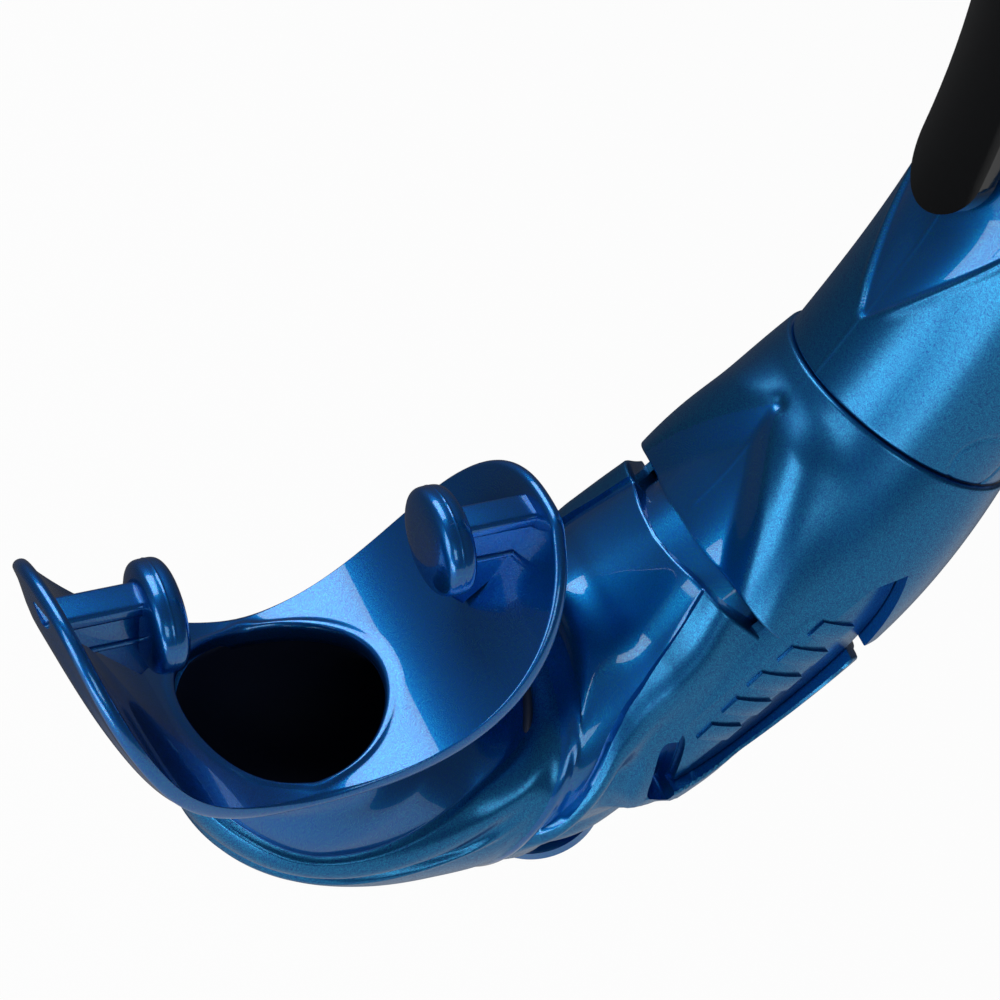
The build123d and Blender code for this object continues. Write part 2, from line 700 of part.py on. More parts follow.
with BuildPart() as seat_seal:
    with BuildSketch(Plane.XY.offset(seat_z)):
        Circle(seat_r + 2.0)
        Circle(seat_r, mode=Mode.SUBTRACT)
    extrude(amount=seat_t)
    fillet(seat_seal.edges().group_by(Axis.Z)[-1], 0.6)
seat_seal.part.label = "seat_seal"
export_step(seat_seal.part, "parts/seat_seal.step")

lift = radians(flap_open)
flap_reach = hinge[0]                            # shut, the flap's disc is centred over the seat
flap_plane = Plane(
    origin=(hinge[0], 0, hinge[1]),
    x_dir=(-cos(lift), 0, sin(lift)),
    z_dir=(-sin(lift), 0, -cos(lift)),
)
with BuildPart() as float_arm:
    with BuildSketch(flap_plane.offset(-flap_t + 0.1)):
        with Locations((flap_reach, 0)):
            Circle(seat_r + flap_rim)
        with Locations((flap_reach / 2, 0)):
            Rectangle(flap_reach, 2 * ear_gap - 4)
    extrude(amount=flap_t)
    with BuildSketch(Plane.XZ.offset(-ear_gap + 0.3)):
        with Locations(hinge):
            Circle(2.2)
    extrude(amount=2 * ear_gap - 0.6)
    # bracket that holds the float
    with BuildSketch(Plane.XY.offset(hinge[1] - 1.0)):
        with Locations((hinge[0] + 2.2, 0)):
            Rectangle(3.6, 10.0)
    extrude(amount=2.0)
    with BuildSketch(Plane.XZ.offset(-ear_gap)):
        with Locations(hinge):
            Circle(hinge_r + fit_gap)
    extrude(amount=2 * ear_gap, mode=Mode.SUBTRACT)
float_arm.part.label = "float_arm"
export_step(float_arm.part, "parts/float_arm.step")

with BuildPart() as flap_pad:
    with BuildSketch(flap_plane.offset(0.1)):
        with Locations((flap_reach, 0)):
            Circle(seat_r + flap_rim - 0.4)
    extrude(amount=pad_t)
flap_pad.part.label = "flap_pad"
export_step(flap_pad.part, "parts/flap_pad.step")

float_x = hinge[0] + 4.0 + float_size[0] / 2
with BuildPart() as float_block:
    with Locations((float_x, 0, hinge[1])):
        Box(*float_size)
    fillet(float_block.edges().filter_by(Axis.Y).group_by(Axis.X)[-1], float_round)
    fillet(float_block.edges().filter_by(Axis.Z), 2.5)
float_block.part.label = "float_block"
export_step(float_block.part, "parts/float_block.step")

with BuildPart() as hinge_pin:
    with BuildSketch(Plane.XZ.offset(-ear_gap - ear_t + 0.2)):
        with Locations(hinge):
            Circle(hinge_r)
    extrude(amount=2 * (ear_gap + ear_t) - 0.4)
hinge_pin.part.label = "hinge_pin"
export_step(hinge_pin.part, "parts/hinge_pin.step")

with BuildPart() as top_hood:
    with BuildSketch(Plane.XY.offset(deck_z)):
        top_outline()
    extrude(amount=hood_h)
    fillet(top_hood.edges().group_by(Axis.Z)[-1], hood_round)
    with BuildPart(mode=Mode.PRIVATE) as hollow:
        with BuildSketch(Plane.XY.offset(deck_z)):
            top_outline(hood_t)
        extrude(amount=hood_h - hood_t)
        fillet(hollow.edges().group_by(Axis.Z)[-1], hood_round - hood_t)
    add(hollow.part, mode=Mode.SUBTRACT)
    with BuildSketch(Plane.XZ.offset(-hood_big_r - 1)):
        with Locations((hood_reach / 2, deck_z + hood_h / 2 + 1)):
            with GridLocations(hood_slot[2], 0, 5, 1):
                SlotOverall(hood_slot[0], hood_slot[1], rotation=90)
    extrude(amount=2 * hood_big_r + 2, mode=Mode.SUBTRACT)
    with BuildSketch(Plane.YZ.offset(-hood_big_r - 1)):
        with Locations((0, deck_z + hood_h / 2 + 1)):
            with GridLocations(hood_slot[2], 0, 3, 1):
                SlotOverall(hood_slot[0], hood_slot[1], rotation=90)
    extrude(amount=6, mode=Mode.SUBTRACT)
top_hood.part.label = "top_hood"
export_step(top_hood.part, "parts/top_hood.step")
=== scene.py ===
# %% [markdown]
# # A snorkel in pearl-blue plastic
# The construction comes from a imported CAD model: every hinge, seal and pin is already
# there at its real size.  This lesson gives it its looks.  The shells that the eye sees
# are sculpted again with their folds, scoops and ribs, and the small parts keep their CAD
# shape and get a finish.

# %% Load the frame
import json
from math import atan2, cos, degrees, pi, radians, sin

import bpy
import numpy as np
from mathutils import Matrix, Vector


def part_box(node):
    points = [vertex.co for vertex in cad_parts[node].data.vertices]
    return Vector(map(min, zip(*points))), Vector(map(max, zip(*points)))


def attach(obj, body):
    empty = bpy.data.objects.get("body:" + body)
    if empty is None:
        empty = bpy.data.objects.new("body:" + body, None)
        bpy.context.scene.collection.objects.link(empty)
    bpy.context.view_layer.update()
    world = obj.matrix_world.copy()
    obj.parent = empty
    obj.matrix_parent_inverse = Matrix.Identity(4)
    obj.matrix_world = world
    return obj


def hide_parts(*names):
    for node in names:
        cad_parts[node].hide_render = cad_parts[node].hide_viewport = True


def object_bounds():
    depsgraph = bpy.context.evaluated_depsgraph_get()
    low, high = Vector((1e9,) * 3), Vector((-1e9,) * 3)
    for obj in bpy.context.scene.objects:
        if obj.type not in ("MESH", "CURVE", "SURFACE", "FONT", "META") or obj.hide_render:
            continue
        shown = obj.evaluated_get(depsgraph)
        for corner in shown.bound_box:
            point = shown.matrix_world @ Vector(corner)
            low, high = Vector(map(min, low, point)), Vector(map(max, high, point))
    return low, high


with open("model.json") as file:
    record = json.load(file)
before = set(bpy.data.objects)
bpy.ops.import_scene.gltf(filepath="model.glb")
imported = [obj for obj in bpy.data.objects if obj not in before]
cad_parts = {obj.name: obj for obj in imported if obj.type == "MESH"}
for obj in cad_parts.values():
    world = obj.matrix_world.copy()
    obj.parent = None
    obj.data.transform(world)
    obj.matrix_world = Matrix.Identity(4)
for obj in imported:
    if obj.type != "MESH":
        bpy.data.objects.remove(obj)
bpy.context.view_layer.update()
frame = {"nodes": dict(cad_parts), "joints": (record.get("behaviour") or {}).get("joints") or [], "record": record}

MM = 0.001  # lengths below are in mm, and Blender's unit is the metre
mounts = {m["name"]: m for m in frame["record"]["mounts"]}
joints = {j["name"]: j for j in frame["joints"]}

# %% [markdown]
# ## The tube's centre line
# A snorkel is a tube on a path, so every shell is placed by its path.  Going up from the
# mouthpiece the path is a short knuckle, a large bend and a straight run.  A heading is the
# direction of travel in the XZ plane, in degrees from +X.  Places that the CAD already
# knows, such as the swivel, are read from it, so the new shells meet the old parts.

# %% Path
BEND_R = 90.0  # radius of the large bend's centre line
STRAIGHT_Z = -58.5  # height at which the straight run begins
LINK_HEADING = 37.0  # the short straight link between knuckle and bend
LINK = 18.3  # and its length
VENT_HEADING, VENT_TILT = 43.5, -6.0  # where the crescent vent crosses the path
SEAM_HEADING, SEAM_TILT = 60.3, 4.5  # where collar and tube meet
SEAM_INSET = 0.7  # mm by which the seam sits further inside the bend
BORE_R = 10.4  # radius of the airway
TUBE_R = 12.4  # outer radius of the round tube
TOP_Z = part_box("upper_tube")[1].z / MM


def in_plane(metres):
    """X and Z of a place, in mm."""
    return metres[0] / MM, metres[2] / MM


swivel = joints["mouthpiece_swivel"]
MOUTH = in_plane(mounts["mouth_airway"]["pos_m"])
SWIVEL = in_plane(swivel["pos_m"])
SWIVEL_HEADING = degrees(atan2(swivel["axis"][2], swivel["axis"][0]))


def along(heading):
    """Direction of travel."""
    h = np.radians(heading)
    return np.stack([np.cos(h), np.sin(h)], -1)


def outward(heading):
    """Direction to the outside of the bend."""
    h = np.radians(heading)
    return np.stack([np.sin(h), -np.cos(h)], -1)


def on_bend(heading):
    """Point of the large bend where the path has this heading."""
    h = np.radians(heading)
    return np.stack([-BEND_R * (1 - np.sin(h)), STRAIGHT_Z - BEND_R * np.cos(h)], -1)


def blend(a, b, t):
    """a at t = 0, b at t = 1."""
    return a + (b - a) * t


def ease(t):
    """0 below 0, 1 above 1 and a smooth step between."""
    t = np.clip(t, 0, 1)
    return t * t * (3 - 2 * t)


def bump(t):
    """A soft hill, 1 high at 0 and gone by 2."""
    return np.exp(-t * t)


def through(points):
    """Smooth curve through a few (x, y) points."""
    xs = np.array([p[0] for p in points], float)
    ys = np.array([p[1] for p in points], float)
    slopes = np.gradient(ys, xs)

    def value(x):
        x = np.clip(x, xs[0], xs[-1])
        i = np.clip(np.searchsorted(xs, x) - 1, 0, len(xs) - 2)
        w = xs[i + 1] - xs[i]
        t = (x - xs[i]) / w
        a = (1 + 2 * t) * (1 - t) ** 2
        b = t * (1 - t) ** 2
        c = t * t * (3 - 2 * t)
        d = t * t * (t - 1)
        return a * ys[i] + b * w * slopes[i] + c * ys[i + 1] + d * w * slopes[i + 1]

    return value


LINK_TOP = on_bend(LINK_HEADING)
KNUCKLE = LINK_TOP - LINK * along(LINK_HEADING)
print("mouth, swivel and knuckle at (mm):", np.round([MOUTH, SWIVEL, KNUCKLE], 1).tolist())

# %% [markdown]
# ## Camera
# The camera stands above the mouthpiece on its near side and is rolled a little, so that
# the flange fills the left of the frame and the tube leaves at its top right.  The lens is
# long, which keeps the near rim and the far tube in proportion.

# %% Camera
AZIMUTH, ELEVATION, ROLL = -31.04, 42.29, 10.72  # degrees
DISTANCE = 250.0
LENS, SENSOR = 93.74, 36.0
AIM = Vector((MOUTH[0] + 19.4, -2.9, MOUTH[1] + 26.0)) * MM

az, el = radians(AZIMUTH), radians(ELEVATION)
toward = Vector((sin(az) * cos(el), -cos(az) * cos(el), sin(el)))
level = Vector((cos(az), sin(az), 0))
right = Matrix.Rotation(radians(ROLL), 3, toward) @ level
up = toward.cross(right)
bpy.ops.object.camera_add()
camera = bpy.context.object
camera.name = "camera"
turned = Matrix((right, up, toward)).transposed().to_4x4()
camera.matrix_world = Matrix.Translation(AIM + toward * DISTANCE * MM) @ turned
camera.data.sensor_width = SENSOR
camera.data.lens = LENS
camera.data.clip_start = 0.01
bpy.context.scene.camera = camera
print("camera at (mm):", [round(c / MM, 1) for c in camera.location])


# %% [markdown]
# ## How the materials are built
# The shells are ABS with mica flakes in it.  A flake is a tiny mirror: it throws light only
# near the mirror angle, while the pigment between flakes spreads it.  Cells of two colours
# and two roughnesses give both, so highlights turn cyan and the shade stays navy.  The
# other parts are plain plastic, rubber and steel, and one helper serves them all.  Object
# coordinates keep each pattern at its real size.

# %% Material helpers
def linear(code):
    """sRGB hex text to linear RGBA."""
    values = [int(code[i:i + 2], 16) / 255 for i in (1, 3, 5)]
    bent = [v / 12.92 if v <= 0.04045 else ((v + 0.055) / 1.055) ** 2.4 for v in values]
    return (*bent, 1.0)


def link(node, **links):
    """Link sockets into a node; i0, i1 and so on are inputs by number."""
    for key, socket in links.items():
        numbered = key[0] == "i" and key[1:].isdigit()
        target = node.inputs[int(key[1:]) if numbered else key.replace("_", " ")]
        node.id_data.links.new(socket, target)


def add(material, kind, settings=None, **links):
    """Add a node, set its inputs or properties, and link sockets into it."""
    node = material.node_tree.nodes.new(kind)
    for key, value in (settings or {}).items():
        if isinstance(key, int) or key in node.inputs.keys():
            node.inputs[key].default_value = value
        else:
            setattr(node, key, value)
    link(node, **links)
    return node


def principled(name, **settings):
    """A new material; returns it, its shader and its object coordinates."""
    material = bpy.data.materials.new(name)
    material.use_nodes = True
    shader = material.node_tree.nodes["Principled BSDF"]
    for key, value in settings.items():
        shader.inputs[key.replace("_", " ")].default_value = value
    coords = add(material, "ShaderNodeTexCoord").outputs["Object"]
    return material, shader, coords


# %% Pearl plastic
FLAKE = 0.12  # mm; drawn coarser than real mica (0.01 to 0.06), or none would be seen
DUST = 0.03  # mm across the many flakes that the eye can't pick out
FLAKE_EDGE = 0.05  # softness of the step from pigment to flake
FLAKE_LIFT = 0.02  # mm by which a flake can lift the skin


def pearl(name, pigment, flake, share, rough, spark, sparkle, grain, **settings):
    """Plastic full of mica flakes.  share: part of the surface that is flake; rough and
    spark: roughness of pigment and flake; sparkle: how much the large flakes stand out;
    grain: how rough they make the skin."""
    material, shader, coords = principled(name, **settings)
    cells = add(material, "ShaderNodeTexVoronoi", {"Scale": 1 / (FLAKE * MM)}, Vector=coords)
    pick = add(material, "ShaderNodeSeparateColor", Color=cells.outputs["Color"])
    dust = add(material, "ShaderNodeTexVoronoi", {"Scale": 1 / (DUST * MM)}, Vector=coords)
    fine = add(material, "ShaderNodeSeparateColor", Color=dust.outputs["Color"])
    shift = add(material, "ShaderNodeMath",
                {"operation": "MULTIPLY_ADD", 1: sparkle, 2: -sparkle / 2}, i0=pick.outputs["Red"])
    dice = add(material, "ShaderNodeMath", {"operation": "ADD"},
               i0=fine.outputs["Red"], i1=shift.outputs[0])
    mask = add(material, "ShaderNodeMapRange",
               {"From Min": 1 - share - FLAKE_EDGE, "From Max": 1 - share + FLAKE_EDGE},
               Value=dice.outputs[0])
    colour = add(material, "ShaderNodeMix",
                 {"data_type": "RGBA", 6: linear(pigment), 7: linear(flake)}, i0=mask.outputs[0])
    gloss = add(material, "ShaderNodeMapRange", {"To Min": rough, "To Max": spark},
                Value=mask.outputs[0])
    relief = add(material, "ShaderNodeBump", {"Strength": grain, "Distance": FLAKE_LIFT * MM},
                 Height=pick.outputs["Green"])
    link(shader, Base_Color=colour.outputs[2], Roughness=gloss.outputs[0],
         Normal=relief.outputs[0])
    return material


# %% Plain plastic, rubber and steel
TONE_SIZE = 9.0  # mm across one patch of a slightly other tone
DARKER, LIGHTER = 0.85, 1.12  # how far the colour strays
SMOOTHER, ROUGHER = 0.85, 1.2  # and the roughness with it


def moulded(name, colour, rough, depth=0.01, size=0.4, **settings):
    """Plain moulded plastic or rubber with a faint waviness, depth mm deep and size mm wide."""
    material, shader, coords = principled(name, **settings)
    noise = add(material, "ShaderNodeTexNoise", {"Scale": 1 / (size * MM), "Detail": 3.0},
                Vector=coords)
    tone = add(material, "ShaderNodeTexNoise", {"Scale": 1 / (TONE_SIZE * MM), "Detail": 2.0},
               Vector=coords)
    base = linear(colour)[:3]
    dark, light = [(*(min(c * k, 1.0) for c in base), 1.0) for k in (DARKER, LIGHTER)]
    mix = add(material, "ShaderNodeMix", {"data_type": "RGBA", 6: dark, 7: light},
              i0=tone.outputs["Fac"])
    wear = add(material, "ShaderNodeMapRange",
               {"To Min": rough * SMOOTHER, "To Max": rough * ROUGHER}, Value=tone.outputs["Fac"])
    relief = add(material, "ShaderNodeBump", {"Strength": 0.3, "Distance": depth * MM},
                 Height=noise.outputs["Fac"])
    link(shader, Base_Color=mix.outputs[2], Roughness=wear.outputs[0], Normal=relief.outputs[0])
    return material


# %% [markdown]
# ## The finishes
# Each finish is named for what the real part is made of, and a note says what that gives
# the eye, except the airway wall, whose dark navy is painted shade.  A polished mould leaves
# gloss and an etched one leaves satin.

# %% The finishes
# Polished ABS: flakes under a clear skin, so a sharp reflection lies over a soft cyan glow.
pearl_gloss = pearl("gloss pearl ABS", "#0055b8", "#058fba", 0.4, 0.44, 0.26, 0.06, 0.0,
                    Metallic=0.92, Coat_Weight=1.0, Coat_Roughness=0.02)
# Etched ABS: the same flakes under a matt skin, which spreads the reflection and greys it.
pearl_satin = pearl("satin pearl ABS", "#003a8a", "#1696c8", 0.46, 0.46, 0.29, 0.1, 0.06,
                    Metallic=0.92, Coat_Weight=0.45, Coat_Roughness=0.26)
# Flake-filled silicone: a touch darker and softer in its reflections than hard ABS.
pearl_silicone = pearl("pearl silicone", "#0050b4", "#0686b4", 0.4, 0.44, 0.26, 0.06, 0.0,
                       Metallic=0.92, Coat_Weight=1.0, Coat_Roughness=0.03)
# Unpolished inner wall of a moulding: dull, with painted shade in navy, so the airway reads deep.
airway_painted_shade = moulded("airway wall with painted shade", "#04122b", 0.6)
# Polished black ABS: hardly any colour of its own, so only its reflections are seen.
keeper_black = moulded("black gloss ABS", "#07080a", 0.08, Coat_Weight=0.6, Coat_Roughness=0.02)
# Nitrile rubber: dull and almost black, with broad weak highlights.
seal_rubber = moulded("navy nitrile rubber", "#0a1a36", 0.5, 0.02)
# Clear silicone: milky, as half of the light goes through.
clear_rubber = moulded("clear silicone", "#cfd8dc", 0.35, Transmission_Weight=0.5, IOR=1.41)
# Polished steel: a mirror, a little blurred by the polishing.
steel = moulded("polished stainless steel", "#c8c9cc", 0.18, 0.004, 0.15, Metallic=1.0)
# Fluorescent vinyl: an even, loud orange with little shine.
band_orange = moulded("fluorescent vinyl", "#ff5a1f", 0.4)
# Closed-cell foam: pale and matt, with a visible grain.
foam_white = moulded("closed-cell foam", "#eceeee", 0.75, 0.08, 0.5)
print("materials:", len(bpy.data.materials))

# %% [markdown]
# ## Studio
# The floor is white paper that shines for the camera.  Towards the back it turns dark for
# reflections, as if a drape hung there, which keeps gloss parts deep in tone.  Four soft
# boxes do the lighting: a large one above and behind for the long highlights, one at the
# left for the flange, one in front for the scoops, and a low one under the left edge.  The
# room is white to the camera and dim for everything else.

# %% Floor
FLOOR_DROP = 120.0  # mm below the lowest point of the part
FLOOR_SIZE = 80.0  # metres, so that its edge is never seen
SHINE = 0.96  # how much of the floor shines for the camera
DRAPE_NEAR, DRAPE_FAR, DRAPE_RUN = 0.4, 0.94, 100  # share of drape, and mm from near to far
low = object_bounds()[0]
bpy.ops.mesh.primitive_plane_add(size=FLOOR_SIZE, location=(0, 0, low.z - FLOOR_DROP * MM))
floor = bpy.context.object
floor.name = "floor"
white = bpy.data.materials.new("white paper")
white.use_nodes = True
white.node_tree.nodes.clear()
out = add(white, "ShaderNodeOutputMaterial")
paper = add(white, "ShaderNodeBsdfDiffuse", {"Color": (0.8, 0.8, 0.8, 1)})
glow = add(white, "ShaderNodeEmission", {"Color": (1, 1, 1, 1), "Strength": 1.0})
path = add(white, "ShaderNodeLightPath")
seen = add(white, "ShaderNodeMath", {"operation": "MAXIMUM"},
           i0=path.outputs["Is Camera Ray"], i1=path.outputs["Is Glossy Ray"])
seen = add(white, "ShaderNodeMath", {"operation": "MAXIMUM"},
           i0=seen.outputs[0], i1=path.outputs["Is Transmission Ray"])
part = add(white, "ShaderNodeMath", {"operation": "MULTIPLY", 1: SHINE}, i0=seen.outputs[0])
mixed = add(white, "ShaderNodeMixShader",
            i0=part.outputs[0], i1=paper.outputs[0], i2=glow.outputs[0])
spot = add(white, "ShaderNodeTexCoord")
axes = add(white, "ShaderNodeSeparateXYZ", Vector=spot.outputs["Object"])
away = add(white, "ShaderNodeMapRange",
           {"From Max": DRAPE_RUN * MM, "To Min": DRAPE_NEAR, "To Max": DRAPE_FAR},
           Value=axes.outputs["Y"])
dim = add(white, "ShaderNodeMath", {"operation": "MULTIPLY"},
          i0=away.outputs[0], i1=path.outputs["Is Glossy Ray"])
drape = add(white, "ShaderNodeBsdfDiffuse", {"Color": (0.01, 0.012, 0.015, 1)})
whole = add(white, "ShaderNodeMixShader",
            i0=dim.outputs[0], i1=mixed.outputs[0], i2=drape.outputs[0])
link(out, Surface=whole.outputs[0])
floor.data.materials.append(white)

# %% Room
DIM_ROOM, WHITE_ROOM = 0.1, 1.0  # strength of the room for the object and for the camera
world = bpy.data.worlds.new("room")
bpy.context.scene.world = world
world.use_nodes = True
backdrop = world.node_tree.nodes["Background"]
backdrop.inputs["Color"].default_value = (0.75, 0.85, 1.0, 1)
ray = add(world, "ShaderNodeLightPath")
room = add(world, "ShaderNodeMapRange", {"To Min": DIM_ROOM, "To Max": WHITE_ROOM},
           Value=ray.outputs["Is Camera Ray"])
link(backdrop, Strength=room.outputs[0])


# %% Soft boxes
SUBJECT = (MOUTH[0] + 25, 0, MOUTH[1] + 10)  # between mouthpiece and vent
LAMP_AWAY = 700


def softbox(name, bearing, height, size, radiance, spin=0.0):
    """Rectangular light of size mm, turned by spin degrees, whose face has this radiance.
    Bearing is in degrees from +Y towards +X, and height in degrees above the level."""
    b, h = radians(bearing), radians(height)
    way = (sin(b) * cos(h), cos(b) * cos(h), sin(h))
    place = [s + LAMP_AWAY * w for s, w in zip(SUBJECT, way)]
    bpy.ops.object.light_add(type="AREA", location=[c * MM for c in place])
    lamp = bpy.context.object
    lamp.name = name
    lamp.data.shape = "RECTANGLE"
    lamp.data.size = size[0] * MM
    lamp.data.size_y = size[1] * MM
    lamp.data.energy = radiance * pi * size[0] * size[1] * MM * MM
    aim = Vector(SUBJECT) * MM - lamp.location
    turn = aim.to_track_quat("-Z", "Y") @ Matrix.Rotation(radians(spin), 3, "Z").to_quaternion()
    lamp.rotation_euler = turn.to_euler()


softbox("back_softbox", -20, 55, (440, 480), 3.7, -24)
softbox("left_softbox", -100, 20, (320, 460), 3.0)
softbox("front_softbox", -168, 34, (260, 260), 2.2)
softbox("low_softbox", -132, -2, (460, 200), 3.4)

bpy.context.scene.view_settings.view_transform = "Standard"


# %% [markdown]
# ## Rolling a sheet into a shell
# The real shells are moulded, and their folds and creases melt into each other along
# curves.  Cuts and bevels leave edges of one width, and sculpting by hand can't be
# repeated, so these shells start as a fine flat grid whose points are set by a formula:
# one side of the grid runs along the tube, the other round it.  The grid goes up the
# outside, over the rim and back down the bore, so merging its edges closes the shell.

# %% Sheet tools
AROUND = 384


def select_only(*pieces):
    bpy.ops.object.select_all(action="DESELECT")
    for piece in pieces:
        piece.select_set(True)
    bpy.context.view_layer.objects.active = pieces[0]


def settle():
    """Write place, turn and scale of the selected piece into its mesh."""
    bpy.ops.object.transform_apply(location=True, rotation=True, scale=True)


def points_of(piece):
    """Places of all points of a piece, in metres."""
    co = np.zeros(len(piece.data.vertices) * 3)
    piece.data.vertices.foreach_get("co", co)
    return co.reshape(-1, 3)


def set_points(piece, points):
    """Move all points of a piece to these places, in mm."""
    piece.data.vertices.foreach_set("co", (np.asarray(points) * MM).astype(np.float32).ravel())
    piece.data.update()


def grid(name, rows, columns):
    """A flat grid object and the row and column number of each of its points."""
    bpy.ops.mesh.primitive_grid_add(x_subdivisions=rows, y_subdivisions=columns, size=2.0)
    sheet = bpy.context.object
    sheet.name = name
    sheet.data.name = name
    co = points_of(sheet)
    i = np.rint((co[:, 0] + 1) / 2 * rows).astype(int)
    j = np.rint((co[:, 1] + 1) / 2 * columns).astype(int)
    return sheet, i, j


def paint(piece, materials, which):
    """Give each face the material whose number is the rounded mean over its corners."""
    for material in materials:
        piece.data.materials.append(material)
    loops = np.zeros(len(piece.data.loops), int)
    piece.data.loops.foreach_get("vertex_index", loops)
    face = which[loops.reshape(-1, 4)].mean(1)
    piece.data.polygons.foreach_set("material_index", np.rint(face).astype(int))


def face_outwards(piece, merge=0.0):
    """Merge points that are closer than merge mm, if any, and turn all faces outwards."""
    select_only(piece)
    bpy.ops.object.mode_set(mode="EDIT")
    bpy.ops.mesh.select_all(action="SELECT")
    if merge:
        bpy.ops.mesh.remove_doubles(threshold=merge * MM)
    bpy.ops.mesh.normals_make_consistent(inside=False)
    bpy.ops.object.mode_set(mode="OBJECT")


def close_up(piece):
    """Make one closed, smooth shell of a sheet whose edges meet."""
    face_outwards(piece, 0.004)
    bpy.ops.object.shade_smooth()
    print(piece.name, "faces", len(piece.data.polygons))
    return piece


# %% Rolling a shell
RIM = (0.0, 0.05, 0.15, 0.3, 0.5, 0.75)  # mm from the rim of the extra rows there
WALL = 0.35  # mm of wall that is left outside the bore, however deep a fold is
# Near the upper rim the bore keeps the outside's finish; deeper in, it takes the painted shade.
BRIGHT_RIM = 0.8  # mm by which the finish of the outside turns in at the upper rim


def steps(length, pitch):
    """Places from 0 to 1 along a shell: close rows at both rims and even ones between."""
    rim = [d / length for d in RIM]
    count = max(int((length - 2 * RIM[-1]) / pitch), 2)
    middle = np.linspace(rim[-1], 1 - rim[-1], count)[1:-1]
    return np.concatenate([rim, middle, [1 - r for r in reversed(rim)]])


def roll(name, path, low_rim, high_rim, length, pitch, relief, bore, rim_round, materials,
         column=None, rows=(), lip=None):
    """Shell round a path of length mm, with rows every pitch mm.  path(u) gives centre,
    heading and the two half-widths; u runs from 0 to 1 along the path and phi from 0 on
    the inside of the bend to 180 outside.  relief(u, phi, point) gives height and finish.
    column=(home, line): the column at home degrees follows line(u).
    rows=((home, line), ...): the row nearest home follows line(phi).
    lip(phi): how much further up the path the bore goes than the outside."""
    t_out = steps(length, pitch)
    t_in = steps(length, pitch * 4)[::-1]  # the bore is plain, so its rows are wide
    t_all = np.concatenate([t_out, t_in, t_out[:1]])
    inside = np.concatenate([np.zeros(len(t_out), bool), np.ones(len(t_in), bool), [False]])
    sheet, i, j = grid(name, len(t_all) - 1, AROUND)
    t, inner = t_all[i], inside[i]
    spread = 360.0 * j / AROUND
    start = np.abs(spread - 180)  # angle from the inside of the bend
    phi = start
    for _ in range(5 if column else 1):
        high = high_rim(phi) + (np.where(inner, lip(phi), 0) if lip else 0)
        u = blend(low_rim(phi), high, t)
        if column:
            home, aim = column[0], column[1](u)
            beyond = 180 - (180 - start) / (180 - home) * (180 - aim)
            phi = np.where(start < home, start / home * aim, beyond)
    t_low, u_low = 0.0, low_rim(phi)
    for home, line in rows + ((1.0, None),):
        t_high = t_out[np.argmin(np.abs(t_out - home))]
        u_high = line(phi) if line else high
        here = (t >= t_low) & (t <= t_high)
        u = np.where(here, blend(u_low, u_high, (t - t_low) / (t_high - t_low)), u)
        t_low, u_low = t_high, u_high
    theta = 180 + np.sign(spread - 180) * phi
    centre, heading, deep, side = path(u)
    n = outward(heading)
    c, s = np.cos(np.radians(theta)), np.sin(np.radians(theta))

    def oval(deep, side):
        x, z = centre[:, 0] + deep * c * n[:, 0], centre[:, 1] + deep * c * n[:, 1]
        return np.stack([x, side * s, z], -1)

    height, which = relief(u, phi, oval(deep, side))
    edge = np.minimum(t, 1 - t) * length
    over = np.clip(rim_round - edge, 0, rim_round)
    height = height - (rim_round - np.sqrt(rim_round**2 - over**2))
    hollow = bore(u) if callable(bore) else bore
    deep = np.where(inner, hollow, np.maximum(deep + height, hollow + WALL))
    side = np.where(inner, hollow, np.maximum(side + height, hollow + WALL))
    set_points(sheet, oval(deep, side))
    # The bore takes the last material, which on the shells is the airway's painted shade, except near the upper
    # rim.
    which = np.where(inner, len(materials) - 1, which)
    which = np.where(inner & (t > 1 - BRIGHT_RIM / length), 0, which)
    paint(sheet, materials, which)
    return close_up(sheet)


# %% Blocks, bevels and cuts
def block(name, low, high):
    """A cube between two corners in mm, alone in the selection."""
    size = [b - a for a, b in zip(low, high)]
    middle = [(a + b) / 2 for a, b in zip(low, high)]
    bpy.ops.mesh.primitive_cube_add(size=MM, location=[c * MM for c in middle])
    piece = bpy.context.object
    piece.name = name
    piece.data.name = name
    piece.scale = size
    settle()
    return piece


def bevel(piece, width, segments, angle=40):
    """Round the edges of a piece that are sharper than angle degrees."""
    edge = piece.modifiers.new("edge", "BEVEL")
    edge.width = width * MM
    edge.segments = segments
    edge.limit_method = "ANGLE"
    edge.angle_limit = radians(angle)
    bpy.context.view_layer.objects.active = piece
    bpy.ops.object.modifier_apply(modifier="edge")


def cut(piece, point, normal):
    """Saw off what lies beyond a plane and close the face."""
    select_only(piece)
    bpy.ops.object.mode_set(mode="EDIT")
    bpy.ops.mesh.select_all(action="SELECT")
    bpy.ops.mesh.bisect(plane_co=[c * MM for c in point], plane_no=normal,
                        use_fill=True, clear_outer=True)
    bpy.ops.object.mode_set(mode="OBJECT")


def join(name, *parts):
    select_only(*parts)
    bpy.ops.object.join()
    parts[0].name = name
    parts[0].data.name = name
    return parts[0]


def flat(value):
    """A rim that is cut square across."""
    return lambda phi: np.full_like(phi, value, dtype=float)


# %% [markdown]
# ## The leaf on each flank
# Each flank carries a leaf-shaped recess across the vent.  Its outline is two arcs of one
# radius, so a distance to it takes two circles.  The shells need that distance, as their
# bands fade out beside it.  The recess itself is cut later.

# %% Leaf
LEAF_LEN, LEAF_W = 35.7, 13.1
LEAF_BACK, LEAF_SHIFT, LEAF_TURN = 2.2, 0.2, 5.8  # where it lies: mm, mm and degrees
LEAF_BOW = (LEAF_LEN**2 / LEAF_W + LEAF_W) / 4
LEAF_AT = on_bend(VENT_HEADING) - LEAF_BACK * along(VENT_HEADING)
LEAF_AT = LEAF_AT + LEAF_SHIFT * outward(VENT_HEADING)
LEAF_DIR = along(VENT_HEADING + LEAF_TURN)
LEAF_OUT = outward(VENT_HEADING + LEAF_TURN)
print("leaf at (mm):", LEAF_AT.round(1))


